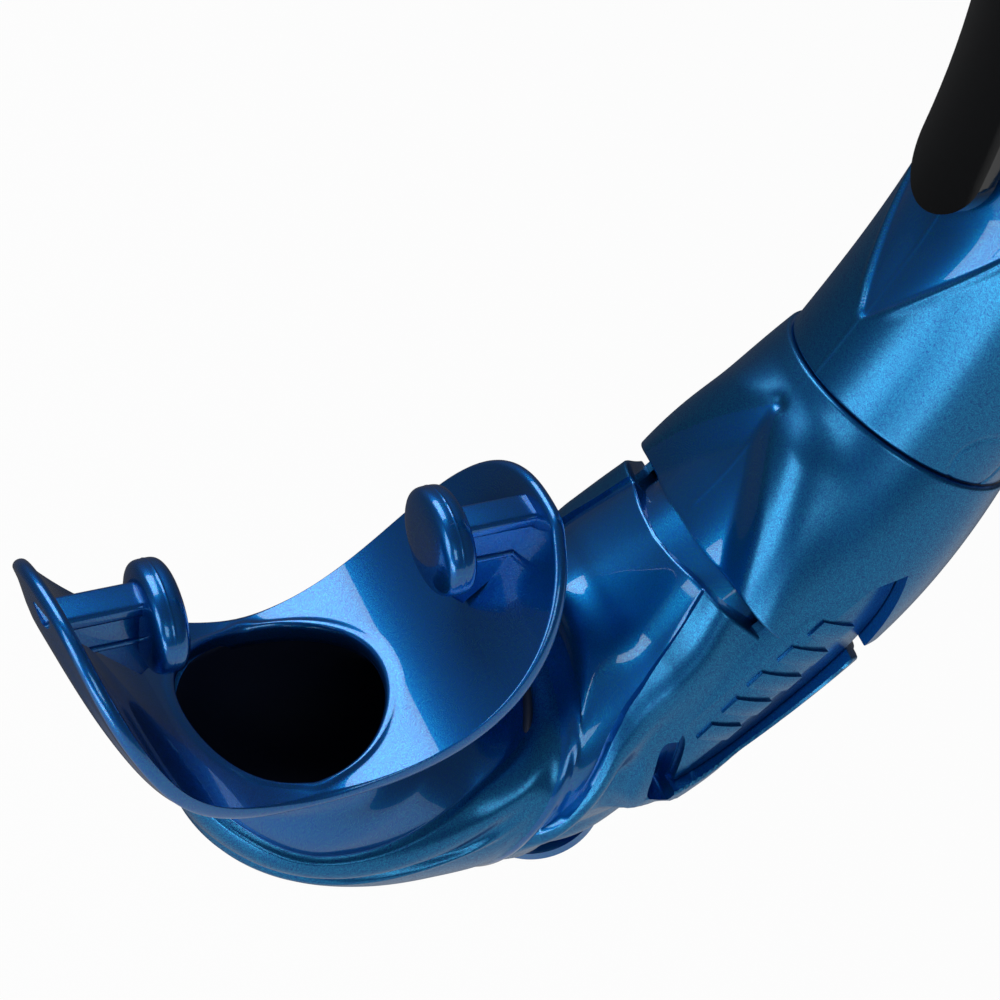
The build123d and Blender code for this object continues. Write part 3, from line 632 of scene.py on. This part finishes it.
def leaf_place(point):
    """Distance along the leaf and across it (towards the outside of the bend)."""
    d = np.stack([point[:, 0] - LEAF_AT[0], point[:, 2] - LEAF_AT[1]], -1)
    return d @ LEAF_DIR, d @ LEAF_OUT


def leaf_edge(x, y):
    """Signed distance to the leaf's outline, negative inside."""
    a = np.hypot(x, y + LEAF_BOW - LEAF_W / 2) - LEAF_BOW
    b = np.hypot(x, y - LEAF_BOW + LEAF_W / 2) - LEAF_BOW
    return np.maximum(a, b)


POCKET_AT, POCKET_TURN = (-14.6, -1.8), -38.5  # mm and degrees in the leaf's own directions
POCKET_HALF = (4.4, 1.6)


def pocket_edge(x, y):
    """Rough distance to the slot at the leaf's lower end, negative inside."""
    c, s = cos(radians(POCKET_TURN)), sin(radians(POCKET_TURN))
    dx, dy = x - POCKET_AT[0], y - POCKET_AT[1]
    run, side = dx * c + dy * s, dy * c - dx * s
    run = np.maximum(np.abs(run) - POCKET_HALF[0] + POCKET_HALF[1], 0)
    return np.hypot(run, side) - POCKET_HALF[1]


# %% [markdown]
# ## Upper tube
# The tube starts at the seam a little oval, becomes round, and runs straight to the top.
# Under the keeper's tongue a glossy V is let into its satin skin.  Only the bend needs
# close rows, so it is a rolled sheet; the straight run is a plain cylinder with a wall.

# %% Upper tube
ARC = BEND_R * radians(90 - SEAM_HEADING)
RUN_ON = 0.35  # how far the rolled sheet goes up the straight run, in bend lengths
V_START = 0.17  # where the glossy V begins, in bend lengths


def tube_path(u):
    k = ease(u)
    bend_heading = blend(SEAM_HEADING, 90.0, np.minimum(u, 1))
    bend = on_bend(bend_heading)
    rise = np.maximum(u - 1, 0) * ARC
    centre = bend + np.stack([rise * 0, rise], -1)
    centre = centre - SEAM_INSET * (1 - ease(u / 0.8))[:, None] * outward(bend_heading)
    heading = blend(SEAM_HEADING + SEAM_TILT, 90.0, k)
    return centre, heading, blend(12.9, TUBE_R, k), blend(13.8, TUBE_R, k)


def seam_line(phi, radius):
    """Fine line where the two halves of the mould met."""
    return 0.07 * bump(np.radians(phi) * radius / 0.16)


def tube_relief(u, phi, point):
    reach = 110 * (u - V_START)  # half-width of the V in degrees
    inside = ease((reach - phi) / 2.2 + 0.5) * ease((u - V_START) / 0.03)
    fade = 1 - ease((u - 1.05) / 0.2)
    height = -inside * fade * (0.35 + 0.45 * ease((reach - phi) / 30))
    lip = 0.12 * bump((reach + 2.5 - phi) / 2.2) * ease((u - 0.2) / 0.05)
    height = height + lip * fade + seam_line(phi, 12.5) * (1 - ease((u - 1.3) / 0.1))
    ring = np.hypot((u - 0.06) * ARC, np.radians(phi - 88) * 13.6)
    height = height - 0.16 * bump((ring - 3.4) / 0.2) * (u < 0.5)
    return height, np.where((inside > 0.5) & (u < 1.2), 0, 1)


tube_bend = roll("upper_tube_bend", tube_path, flat(0.3 / ARC), flat(1 + RUN_ON),
                 ARC * (1 + RUN_ON), 0.34, tube_relief, BORE_R, 0.25,
                 [pearl_gloss, pearl_satin, airway_painted_shade])


def build_straight():
    low_z = STRAIGHT_Z + RUN_ON * ARC
    bpy.ops.mesh.primitive_cylinder_add(
        vertices=192, radius=TUBE_R * MM, depth=(TOP_Z - low_z) * MM,
        location=(0, 0, (TOP_Z + low_z) / 2 * MM), end_fill_type="NOTHING")
    tube = bpy.context.object
    tube.name = "upper_tube_straight"
    settle()
    wall = tube.modifiers.new("wall", "SOLIDIFY")
    wall.thickness = (TUBE_R - BORE_R) * MM
    wall.offset = -1
    bpy.ops.object.modifier_apply(modifier="wall")
    bevel(tube, 0.4, 3, 60)
    bpy.ops.object.shade_smooth_by_angle(angle=radians(35))
    tube.data.materials.append(pearl_satin)
    print(tube.name, "faces", len(tube.data.polygons))
    return tube


tube_straight = build_straight()

# %% [markdown]
# ## Vent collar
# The collar is one hard moulding between vent and seam.  Its inside carries a scoop that
# opens towards the vent and ends in a small dimple.  It is rolled like the tube; its lower
# rim is a curve, because the vent is a crescent.

# %% Vent collar
COLLAR_LEN = BEND_R * radians(SEAM_HEADING - VENT_HEADING)


def collar_path(u):
    bow = 4 * u * (1 - u)
    bend_heading = blend(VENT_HEADING, SEAM_HEADING, u)
    centre = on_bend(bend_heading) - SEAM_INSET * ease(u)[:, None] * outward(bend_heading)
    heading = blend(VENT_HEADING + VENT_TILT, SEAM_HEADING + SEAM_TILT, u)
    return centre, heading, blend(14.2, 13.2, u) + 0.7 * bow, blend(16.1, 14.4, u) + 0.9 * bow


# The rim by phi, and the half-width of the scoop in degrees by u.
collar_low = through([(0, 0.0), (20, 0.0), (40, 0.02), (55, 0.025), (65, 0.045),
                      (90, 0.15), (112, 0.27), (180, 0.28)])
scoop_reach = through([(0.0, 47), (0.08, 42), (0.28, 31), (0.5, 19), (0.68, 9), (0.84, 1),
                       (1.0, -8)])


def collar_relief(u, phi, point):
    reach = scoop_reach(u)
    depth = 1.6 * ease((0.95 - u) / 0.7)
    inside = ease((reach + 2 - phi) / 20)
    height = -depth * inside
    height = height + 0.9 * bump((phi - reach - 13) / 17) * ease((0.92 - u) / 0.25)
    pit = np.hypot((u - 0.79) * COLLAR_LEN, np.radians(phi) * 14)
    height = height - 0.3 * bump(pit / 0.9)
    height = height + seam_line(phi, 14) * ease((u - 0.05) / 0.05)
    return height, np.where(phi < reach - 3, 0, 1)


DUCT_R = 12.25  # radius of the seat that holds the inner duct
collar = roll("vent_collar_shell", collar_path, collar_low, flat(1 + 0.15 / COLLAR_LEN),
              COLLAR_LEN, 0.32, collar_relief, DUCT_R, 0.3,
              [pearl_gloss, pearl_satin, airway_painted_shade])

# %% [markdown]
# ## Lower barrel
# The barrel turns so sharply at the knuckle that sections square to one centre line would
# cross.  It is drawn by two lines instead, one on the inside of the bend and one on the
# outside, and each section spans the two.  A crease starts at the vent, runs down and
# sweeps round to the swivel, with gloss on its inner side and a satin band on the other.

# %% Lower barrel
FAN_RUN = 17.0  # mm above the knuckle at which the turn is done
LOW_DEEP, TOP_DEEP = 14.1, 14.0  # half-depth at the swivel and above the knuckle


def meet(p, d, q, e):
    """Where the line through p along d meets the line through q along e."""
    s = np.linalg.solve(np.stack([d, -e], 1), q - p)
    return p + s[0] * d


FAN_TOP = KNUCKLE + FAN_RUN * along(LINK_HEADING)
FAN = meet(np.array(SWIVEL), outward(SWIVEL_HEADING), FAN_TOP, outward(LINK_HEADING))
LOW_OUT = outward(SWIVEL_HEADING)
INSIDE_LOW = FAN + ((KNUCKLE - FAN) @ LOW_OUT - LOW_DEEP) * LOW_OUT
INSIDE_TOP = FAN_TOP - TOP_DEEP * outward(LINK_HEADING)
INSIDE_MID = INSIDE_TOP - 3.0 * along(LINK_HEADING)
REST = LINK - FAN_RUN + BEND_R * radians(VENT_HEADING - LINK_HEADING)


def barrel_lines(u):
    """Points of the inside and the outside line of the bend at u."""
    low = np.clip(u / 0.5, 0, 1)
    n = outward(blend(SWIVEL_HEADING, LINK_HEADING, low))
    reach = ((KNUCKLE - FAN) * n).sum(-1) + blend(LOW_DEEP, TOP_DEEP, low)
    k = low[:, None]
    inside = (1 - k) ** 2 * INSIDE_LOW + 2 * k * (1 - k) * INSIDE_MID + k**2 * INSIDE_TOP
    s = np.maximum(u - 0.5, 0) / 0.5 * REST
    run = np.minimum(s, LINK - FAN_RUN)
    turn = LINK_HEADING + np.degrees(np.maximum(s - run, 0) / BEND_R)
    high = FAN_TOP + run[:, None] * along(np.full_like(u, LINK_HEADING)) + on_bend(turn) - LINK_TOP
    n_high = outward(blend(LINK_HEADING, VENT_HEADING + VENT_TILT, np.maximum(u - 0.5, 0) / 0.5))
    above = (u > 0.5)[:, None]
    return (np.where(above, high - TOP_DEEP * n_high, inside),
            np.where(above, high + TOP_DEEP * n_high, FAN + reach[:, None] * n))


def barrel_path(u):
    """The two lines, each evened out over a short stretch, give centre, tilt and depth."""
    window = 0.04 * np.minimum(np.abs(u) / 0.12, 1)
    pairs = [barrel_lines(u + k * window) for k in (-2, -1, 0, 1, 2)]
    inside = sum(pair[0] for pair in pairs) / 5
    outside = sum(pair[1] for pair in pairs) / 5
    across = (outside - inside) / 2
    turned = np.degrees(np.arctan2(across[:, 0], -across[:, 1]))
    side = blend(14.5, 15.6, ease(u / 0.6))
    return (inside + outside) / 2, turned, np.hypot(across[:, 0], across[:, 1]), side


# %% Folds of the barrel
# The upper rim by phi; then, by u, the crease and the crest of the band beside it.
barrel_high = through([(0, 0.86), (15, 0.875), (30, 0.905), (45, 0.93), (57, 0.965),
                       (68, 1.0), (90, 1.12), (112, 1.24), (180, 1.25)])
crease = through([(0.0, 97), (0.05, 85), (0.1, 73), (0.17, 61), (0.27, 53.5),
                  (0.45, 48), (0.7, 40.5), (0.9, 34), (1.3, 20)])
crest = through([(0.0, 103), (0.1, 81), (0.2, 65), (0.32, 59), (0.55, 56), (0.7, 53),
                 (0.9, 45), (1.3, 36)])
BARREL_LEN = 26.0
GUARD_X, GUARD_R = -45.4, 7.5  # the guard of the drain valve, which stays clear of folds


def barrel_bore(u):
    """Radius inside: wide at both ends for spigot and duct, closer between them."""
    return DUCT_R - 1.6 * ease((u - 0.08) / 0.08) * ease((0.52 - u) / 0.08)


def barrel_lip(phi):
    return 0.008 * ease((80 - phi) / 25)


def barrel_relief(u, phi, point):
    line = crease(u)
    inside = ease((line - phi) / 1.1)
    floor = -0.3 - 1.0 * ease((line - phi) / 34) * ease((u - 0.02) / 0.5)
    fade = ease((u + 0.02) / 0.08)
    band = 1.15 * bump((phi - crest(u)) / 10.5)
    slim = 2.3 * ease((phi - crest(u) - 4) / 16) * ease((158 - phi) / 25)
    slim = slim * ease((u - 0.04) / 0.12) * ease((0.6 - u) / 0.25)
    start = 1.2 * ease((105 - phi) / 45) * ease((0.5 - u) / 0.5)
    x, y = leaf_place(point)
    edge = leaf_edge(x, y)
    slim = slim * ease((edge - 1) / 4) * ease((pocket_edge(x, y) - 0.9) / 2.5)
    slim = slim * ease((np.hypot(point[:, 0] - GUARD_X, point[:, 1]) - GUARD_R) / 3.5)
    height = (inside * floor + (1 - inside) * (band - slim)) * fade + start
    strip = ease((edge + 0.5) / 0.4) * ease((2.2 - edge) / 0.6) * (y > 0)
    strip = strip * ease((16 - x) / 3) * ease((x + 19) / 2) * (u < 1.3)
    height = height + 0.9 * strip
    return height, np.where(phi < line - 0.1, 0, 1)


CREASE_COLUMN = 46  # the column of the grid that follows the crease and keeps it sharp
barrel = roll("lower_barrel_shell", barrel_path, flat(0.0), barrel_high, BARREL_LEN, 0.3,
              barrel_relief, barrel_bore, 0.35, [pearl_gloss, pearl_satin, airway_painted_shade],
              column=(CREASE_COLUMN * 360 / AROUND, crease), lip=barrel_lip)

# %% [markdown]
# ## Badges in the leaf-shaped recesses
# Two round bars crossed give the leaf's two arcs.  The same leaf, a hair smaller, makes the
# badge, so it drops into its recess with an even gap.  A maker's word would stand here; the
# badge carries plain slanted bars instead.  At the leaf's lower end a short slot is sunk;
# its tool is a cylinder whose section a formula presses into a rounded bar, because no
# ready shape has that section.

# %% Badges
FLOOR_R, BADGE_R, BAR_R = 13.5, 14.6, 14.95  # radii of recess floor, badge and bars
BADGE_GAP, SLOT_GAP = 0.15, 0.25  # mm left round the badge and at the slot
BADGE_END = 15.4  # mm from the leaf's middle to the slot
CORE_HEADING = VENT_HEADING + 1.5


def rod(name, radius, centre, half_length, across=True):
    """Round bar through (x, z), along Y when across, else along the tube."""
    turn = (pi / 2, 0, 0) if across else (0, radians(90 - CORE_HEADING), 0)
    bpy.ops.mesh.primitive_cylinder_add(
        vertices=360, radius=radius * MM, depth=2 * half_length * MM, rotation=turn,
        location=(centre[0] * MM, 0, centre[1] * MM))
    bar = bpy.context.object
    bar.name = name
    settle()
    return bar


def boolean(piece, operation, tool, keep=False):
    """Cut or keep what a tool covers; the tool goes unless it is to be kept."""
    select_only(piece)
    step = piece.modifiers.new("tool", "BOOLEAN")
    step.operation = operation
    step.object = tool
    bpy.ops.object.modifier_apply(modifier="tool")
    if not keep:
        bpy.data.objects.remove(tool)


def leaf_prism(name, less, inner):
    """Leaf on both flanks, outside a round core."""
    off = LEAF_BOW - LEAF_W / 2
    leaf = rod(name, LEAF_BOW - less, LEAF_AT + off * LEAF_OUT, 24)
    boolean(leaf, "INTERSECT", rod("other_arc", LEAF_BOW - less, LEAF_AT - off * LEAF_OUT, 24))
    boolean(leaf, "DIFFERENCE", rod("core", inner, LEAF_AT, 40, across=False))
    return leaf


def smooth_by_angle(piece, degree):
    select_only(piece)
    bpy.ops.object.shade_smooth_by_angle(angle=radians(degree))


# %% Recess and slot
cutter = leaf_prism("leaf_cutter", 0.0, FLOOR_R)
for shell in (barrel, collar):
    boolean(shell, "DIFFERENCE", cutter, keep=True)
bpy.data.objects.remove(cutter)


def pocket_tool(more=0.0):
    """Rounded bar on both flanks that sinks the slot at the leaf's lower end."""
    bpy.ops.mesh.primitive_cylinder_add(vertices=96, radius=MM, depth=60 * MM,
                                        rotation=(pi / 2, 0, 0))
    bar = bpy.context.object
    bar.name = "pocket_tool"
    settle()
    d = points_of(bar) / MM
    c, s = cos(radians(POCKET_TURN)), sin(radians(POCKET_TURN))
    way, side = c * LEAF_DIR + s * LEAF_OUT, c * LEAF_OUT - s * LEAF_DIR
    spot = LEAF_AT + POCKET_AT[0] * LEAF_DIR + POCKET_AT[1] * LEAF_OUT
    full = (np.abs(d[:, 0]) ** 4 + np.abs(d[:, 2]) ** 4) ** (-1 / 4)
    spot = spot + (d[:, 0] * full * (POCKET_HALF[0] + more))[:, None] * way
    spot = spot + (d[:, 2] * full * (POCKET_HALF[1] + more))[:, None] * side
    set_points(bar, np.stack([spot[:, 0], d[:, 1], spot[:, 1]], -1))
    face_outwards(bar)
    boolean(bar, "DIFFERENCE", rod("pocket_core", 12.4, LEAF_AT, 60, across=False))
    return bar


boolean(barrel, "DIFFERENCE", pocket_tool())
SHARP = 38  # degrees; a sharper edge stays an edge, a flatter one is shaded smooth
for shell in (barrel, collar):
    smooth_by_angle(shell, SHARP)


# %% Badge plates
def build_badges():
    badges = leaf_prism("side_badges_shell", BADGE_GAP, FLOOR_R + 0.02)
    boolean(badges, "INTERSECT", rod("skin", BADGE_R, LEAF_AT, 40, across=False))
    bars = []
    for step in (-2, -1, 0, 1, 2):
        bpy.ops.mesh.primitive_cube_add(size=MM)
        bar = bpy.context.object
        bar.scale = (2.2, 60, 5.2 - 0.6 * abs(step))
        settle()
        skew = points_of(bar) / MM
        x = skew[:, 0] + 0.35 * skew[:, 2] + 4.0 * step
        spot = np.array(LEAF_AT) + x[:, None] * LEAF_DIR + skew[:, 2:] * LEAF_OUT
        set_points(bar, np.stack([spot[:, 0], skew[:, 1], spot[:, 1]], -1))
        bars.append(bar)
    tip = LEAF_AT - BADGE_END * LEAF_DIR
    cut(badges, (tip[0], 0, tip[1]), (-LEAF_DIR[0], 0, -LEAF_DIR[1]))
    boolean(badges, "DIFFERENCE", pocket_tool(SLOT_GAP))
    marks = join("marks", *bars)
    face_outwards(marks)
    boolean(marks, "INTERSECT", rod("mark_skin", BAR_R, LEAF_AT, 40, across=False))
    boolean(marks, "DIFFERENCE", rod("mark_core", BADGE_R - 0.3, LEAF_AT, 40, across=False))
    badges = join("side_badges_shell", badges, marks)
    bevel(badges, 0.12, 2, 40)
    badges.data.materials.clear()
    badges.data.materials.append(pearl_satin)
    smooth_by_angle(badges, SHARP)
    print("badges", len(badges.data.polygons))
    return badges


badges = build_badges()
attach(badges, "tube_body")
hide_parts("side_badges")

# %% [markdown]
# ## Tying the shells to the frame
# These shells don't move against each other, so all of them ride on one body of the
# frame.  Each takes the place of its CAD node, so nothing is drawn twice.

# %% Riders so far
for piece, node in ((tube_bend, "upper_tube"), (tube_straight, "upper_tube"),
                    (collar, "vent_collar"), (barrel, "lower_barrel")):
    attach(piece, "tube_body")
    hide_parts(node)

# %% [markdown]
# ## Mouthpiece: the flange
# The flange is the soft plate that lies between lips and teeth: a trough with a round
# hole.  A hole cut into a bent plate leaves uneven faces, so here rings of points lead
# from the hole to the rim, round it and back.  Both edges are clean curves that way.

# %% Flange
TROUGH_A, TROUGH_B = 26.5, 29.4  # half-width and depth of the trough
SPAN = 76.0  # degrees from its bottom to its ends
LEFT_A, LEFT_LEAN = 24.4, 0.13  # the soft left wall leans in, more so at its near side
MID_H, END_H, FAR_END_H = 12.8, 19.4, 17.6  # half-height at the middle and the two ends
POWER, NEAR_POWER = 2.34, 1.95  # how square the outline is; 2 is an ellipse
RIM_T, ROOT_T = 1.5, 2.4  # thickness at the rim and near the sleeve
LIP_H = 0.3  # height of the ridge round the hole


def trough(angle, y, depth):
    """Point of the flange, depth mm below its inner surface."""
    a = np.radians(angle)
    left = blend(TROUGH_A, np.clip(LEFT_A + LEFT_LEAN * y, 22.0, 26.0), ease(-angle / 55))
    x = (left + depth) * np.sin(a)
    z = TROUGH_B - (TROUGH_B + depth) * np.cos(a)
    return np.stack([MOUTH[0] + x, y, MOUTH[1] + z], -1)


def flange_section():
    """Rows as (mm from the hole, mm from the rim, depth), one of the two being None, or as
    ("face" or "back", share of the way to the rim, 0)."""
    hole = [(0.0, None, d) for d in (2.2, 1.5, 0.9)]
    lip = [(0.12, None, 0.35), (0.3, None, 0.1), (0.5, None, 0.0)]
    face = [("face", k, 0.0) for k in np.linspace(0, 1, 48)]
    r = RIM_T / 2
    rim = [(None, r * (1 - sin(a)), r * (1 - cos(a))) for a in np.linspace(0, pi, 13)[1:-1]]
    back = [("back", k, 0.0) for k in np.linspace(1, 0, 20)]
    return hole + lip + face + rim + back + hole[:1]


def build_flange():
    section = flange_section()
    sheet, i, j = grid("mouthpiece_flange", len(section) - 1, AROUND)
    w = 2 * pi * j / AROUND
    hole_angle = np.degrees(np.arcsin(BORE_R / TROUGH_A * np.cos(w)))
    hole_y = BORE_R * np.sin(w)
    power = blend(POWER, NEAR_POWER, ease(-np.sin(w) / 0.3) * (np.cos(w) > 0))
    k = np.sign(np.cos(w)) * np.abs(np.cos(w)) ** (2 / power)
    end_h = np.where(np.cos(w) < 0, FAR_END_H, END_H - 1.0 * ease(-np.sin(w) / 0.3))
    half = MID_H + (end_h - MID_H) * np.sin(np.abs(k) * pi / 2) ** 2
    rim_angle = SPAN * k
    rim_y = half * np.sign(np.sin(w)) * np.abs(np.sin(w)) ** (2 / power)
    length = np.hypot(np.radians(rim_angle - hole_angle) * 28, rim_y - hole_y)
    start, r = 0.6, RIM_T / 2
    distance, depth = np.zeros(len(i)), np.zeros(len(i))
    for row, (first, second, deep) in enumerate(section):
        at = i == row
        if first in ("face", "back"):
            distance[at] = blend(start, length[at] - r, second)
            root = ease((length[at] - r - distance[at]) / 6)
            depth[at] = 0.0 if first == "face" else blend(RIM_T, ROOT_T, root)
        else:
            distance[at] = first if second is None else length[at] - second
            depth[at] = deep
    face = depth < 0.5
    depth = depth - LIP_H * bump((distance - 0.9) / 0.55) * face
    m = distance / length
    set_points(sheet, trough(blend(hole_angle, rim_angle, m), blend(hole_y, rim_y, m), depth))
    sheet.data.materials.append(pearl_silicone)
    return close_up(sheet)


flange = build_flange()

# %% [markdown]
# ## Mouthpiece: the sleeve
# Under the flange a soft sleeve turns to the swivel.  Broad folds wind round it, which on
# the real one let it flex.  Their lines cross the grid at a slant, so two rows of the grid
# are led along them, which keeps the folds crisp.

# %% Sleeve
SLEEVE_FAN = np.array(MOUTH) + np.array([31.0, 4.8])
SLEEVE_START = -82.6
# By heading: how far the centre line is from the fan's point, and the half-depth there.
sleeve_far = through([(-82.6, 31.0), (-71.4, 30.0), (-58.6, 27.4), (-47.1, 24.0),
                      (-36.0, 20.4), (-22.8, 16.7)])
sleeve_half = through([(-82.6, 12.5), (-71.4, 13.7), (-58.6, 14.8), (-47.1, 14.8),
                       (-36.0, 14.5), (-22.8, 14.0)])


def sleeve_path(u):
    h = blend(SLEEVE_START, SWIVEL_HEADING, u)
    centre = SLEEVE_FAN + sleeve_far(h)[:, None] * outward(h)
    return centre, h, sleeve_half(h), blend(11.9, 14.5, ease((u + 0.02) / 0.3))


# %% Folds of the sleeve
# Where they run: u by phi.
fold_line = through([(0, 0.76), (19, 0.67), (38, 0.605), (54, 0.535), (73, 0.44),
                     (91, 0.365), (110, 0.285), (133, 0.165), (160, 0.08), (180, 0.05)])
rib_line = through([(0, 0.96), (40, 0.95), (50, 0.92), (57, 0.87), (70, 0.82), (80, 0.76),
                    (89, 0.68), (94, 0.61), (110, 0.47), (135, 0.32), (180, 0.2)])
FOLD_ROW, RIB_ROW = 0.42, 0.7  # the rows of the grid that are led along them


def sleeve_relief(u, phi, point):
    far = sleeve_far(blend(SLEEVE_START, SWIVEL_HEADING, u)) - 15 * np.cos(np.radians(phi))
    reach = np.maximum(np.radians(SWIVEL_HEADING - SLEEVE_START) * far, 6)
    d = (u - fold_line(phi)) * reach  # mm above the fold
    fold = 1.15 * ease(d / 0.8 + 0.5) - 0.5 * bump((d + 0.9) / 1.6)
    swell = 0.5 * bump((d - 3.0) / 2.4) * (d > 0)
    r = (u - rib_line(phi)) * reach  # mm above the rib
    shown = ease((phi - 50) / 12)
    groove = -0.9 * bump((r + 0.9) / 1.2) * ease((d - 1) / 2)
    groove = groove * (1 - 0.6 * ease((13 - (1 - u) * reach) / 6))
    rib = 0.35 * bump((r - 0.9) / 0.9)
    height = fold + swell + shown * (groove + rib)
    end = (1 - u) * reach  # mm from the swivel
    height = np.maximum(blend(height - 0.9, 0.35, ease((7.5 - end) / 5.5)), -0.75)
    height = height + 1.0 * ease((100 - phi) / 40) * ease((6 - end) / 5)
    height = height + 0.3 * bump((end - 0.9) / 0.7)
    height = height + 1.5 * bump((end - 4.6) / 2.6) * ease((85 - phi) / 35)
    low = u * reach  # mm from the flange
    height = height + 0.55 * bump((low - 2.2) / 1.3) * ease((phi - 60) / 20)
    gloss = (d < 0) | (end < 1.5)
    return height, np.where(gloss, 0, 1)


def build_sleeve():
    """The rolled sleeve, with its top held inside the thickness of the flange."""
    sleeve = roll("mouthpiece_sleeve", sleeve_path, flat(0.0), flat(1.0), 42.0, 0.3, sleeve_relief,
                  BORE_R + 0.2, 0.3, [pearl_silicone, pearl_satin, airway_painted_shade],
                  rows=((FOLD_ROW, fold_line), (RIB_ROW, rib_line)))
    co = points_of(sleeve) / MM
    x = co[:, 0] - MOUTH[0]
    wide = blend(TROUGH_A, 24.6, ease(-x / 20))
    floor_z = TROUGH_B - TROUGH_B * np.sqrt(np.clip(1 - (x / wide) ** 2, 0, 1))
    ceiling = MOUTH[1] + floor_z - 1.2
    co[:, 2] = np.where(co[:, 2] - ceiling > 0, ceiling, co[:, 2])
    set_points(sleeve, co)
    return sleeve


sleeve = build_sleeve()

# %% [markdown]
# ## Bite lugs
# A pad sits behind the teeth and a tab holds it to the flange.  The tab is three cubes,
# cut and bevelled as a toolmaker would rough them out.  The pad is a ball whose points are
# set by a formula that squares it off, because a bevelled cube keeps flat faces and a
# soft pad has none.

# %% Bite lugs
LUG_HALF = (2.0, 6.1, 5.0)  # half-sizes of the pad
SQUARE = 3.8  # 2 is a ball, and a large number is a box


def lug_plate(name, centre):
    """Rounded pad: a ball squared off a little, flatter along X."""
    bpy.ops.mesh.primitive_uv_sphere_add(segments=96, ring_count=48, radius=MM)
    pad = bpy.context.object
    pad.name = name
    d = points_of(pad) / MM
    round_part = np.hypot(d[:, 1], d[:, 2])
    k = (np.abs(d[:, 0]) ** SQUARE + round_part ** SQUARE) ** (-1 / SQUARE)
    d = d * k[:, None]
    seam = 0.04 * bump(d[:, 0] / 0.04)
    grown = 1 + seam / 5
    x, y, z = (d[:, axis] * LUG_HALF[axis] for axis in range(3))
    set_points(pad, np.stack([x, y * grown, z * grown], -1) + np.array(centre))
    bpy.ops.object.shade_smooth()
    return pad


def build_lug(name, side, x, y, z, top, wall):
    """side is +1 or -1 along X; x, y and z place the pad; top is the height of the tab's
    upper face, and wall is where the flange ends the tab.  All from the mouth's centre."""
    base = np.array([MOUTH[0], 0, MOUTH[1]])
    pad = lug_plate(name, base + (side * x, y, z))
    near, far = y - 1.4, y + 2.2
    mx, mz = MOUTH
    ends = sorted((mx + side * (x + 0.6), mx + side * 26.5))
    web = block(name + "_web", (ends[0], near + 0.5, mz + 8),
                (ends[1], far - 0.5, mz + top - 0.4))
    rail = block(name + "_rail", (ends[0], near, mz + top - 1.7), (ends[1], far, mz + top))
    rib = block(name + "_rib", (ends[0], near + 0.2, mz + top - 5.4),
                (ends[1], far - 0.2, mz + top - 4.7))
    for part in (web, rail, rib):
        cut(part, (mx + side * wall, 0, mz + 15.0), (side * 6.0, 0, -4.0))
        cut(part, (mx + side * wall, 0, mz + 15.0), (side * 6.0, 0, -2.2))
    cut(web, (mx + side * x, 0, mz + z - 5.6), (-side * 3.0, 0, -4.0))
    bevel(web, 0.3, 3)
    bevel(rail, 0.55, 4)
    bevel(rib, 0.25, 3)
    lug = join(name, pad, web, rail, rib)
    smooth_by_angle(lug, 40)
    lug.data.materials.clear()
    lug.data.materials.append(pearl_silicone)
    print(name, len(lug.data.polygons))
    return lug


lugs = [build_lug("bite_lug_right", 1, x=15.6, y=0.5, z=18.4, top=20.6, wall=24.3),
        build_lug("bite_lug_left", -1, x=13.5, y=0.4, z=16.2, top=19.4, wall=20.6)]

for piece in [flange, sleeve] + lugs:
    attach(piece, "mouthpiece_body")
    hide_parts("mouthpiece")

# %% [markdown]
# ## Finishes of the CAD parts
# Seals, pins, spring, keeper and dry top are exact in the CAD, and most are hidden or
# small, so they only get a finish.

# %% Finishes of the CAD parts
CAD_FINISHES = {
    "swivel_seal": seal_rubber, "purge_seat": pearl_gloss, "purge_valve": clear_rubber,
    "purge_guard": pearl_gloss, "inner_duct": pearl_gloss, "duct_seals": seal_rubber,
    "seam_gasket": seal_rubber, "keeper_liner": seal_rubber, "keeper_base": keeper_black,
    "strap_gate": keeper_black, "gate_hinge_pin": steel, "release_button": keeper_black,
    "button_spring": steel, "signal_band": band_orange, "top_base": keeper_black,
    "seat_seal": clear_rubber, "float_arm": keeper_black, "flap_pad": clear_rubber,
    "float_block": foam_white, "hinge_pin": steel, "top_hood": pearl_gloss,
}
for node, material in CAD_FINISHES.items():
    mesh = frame["nodes"][node].data
    mesh.materials.clear()
    mesh.materials.append(material)
print("CAD parts with a finish:", len(CAD_FINISHES))
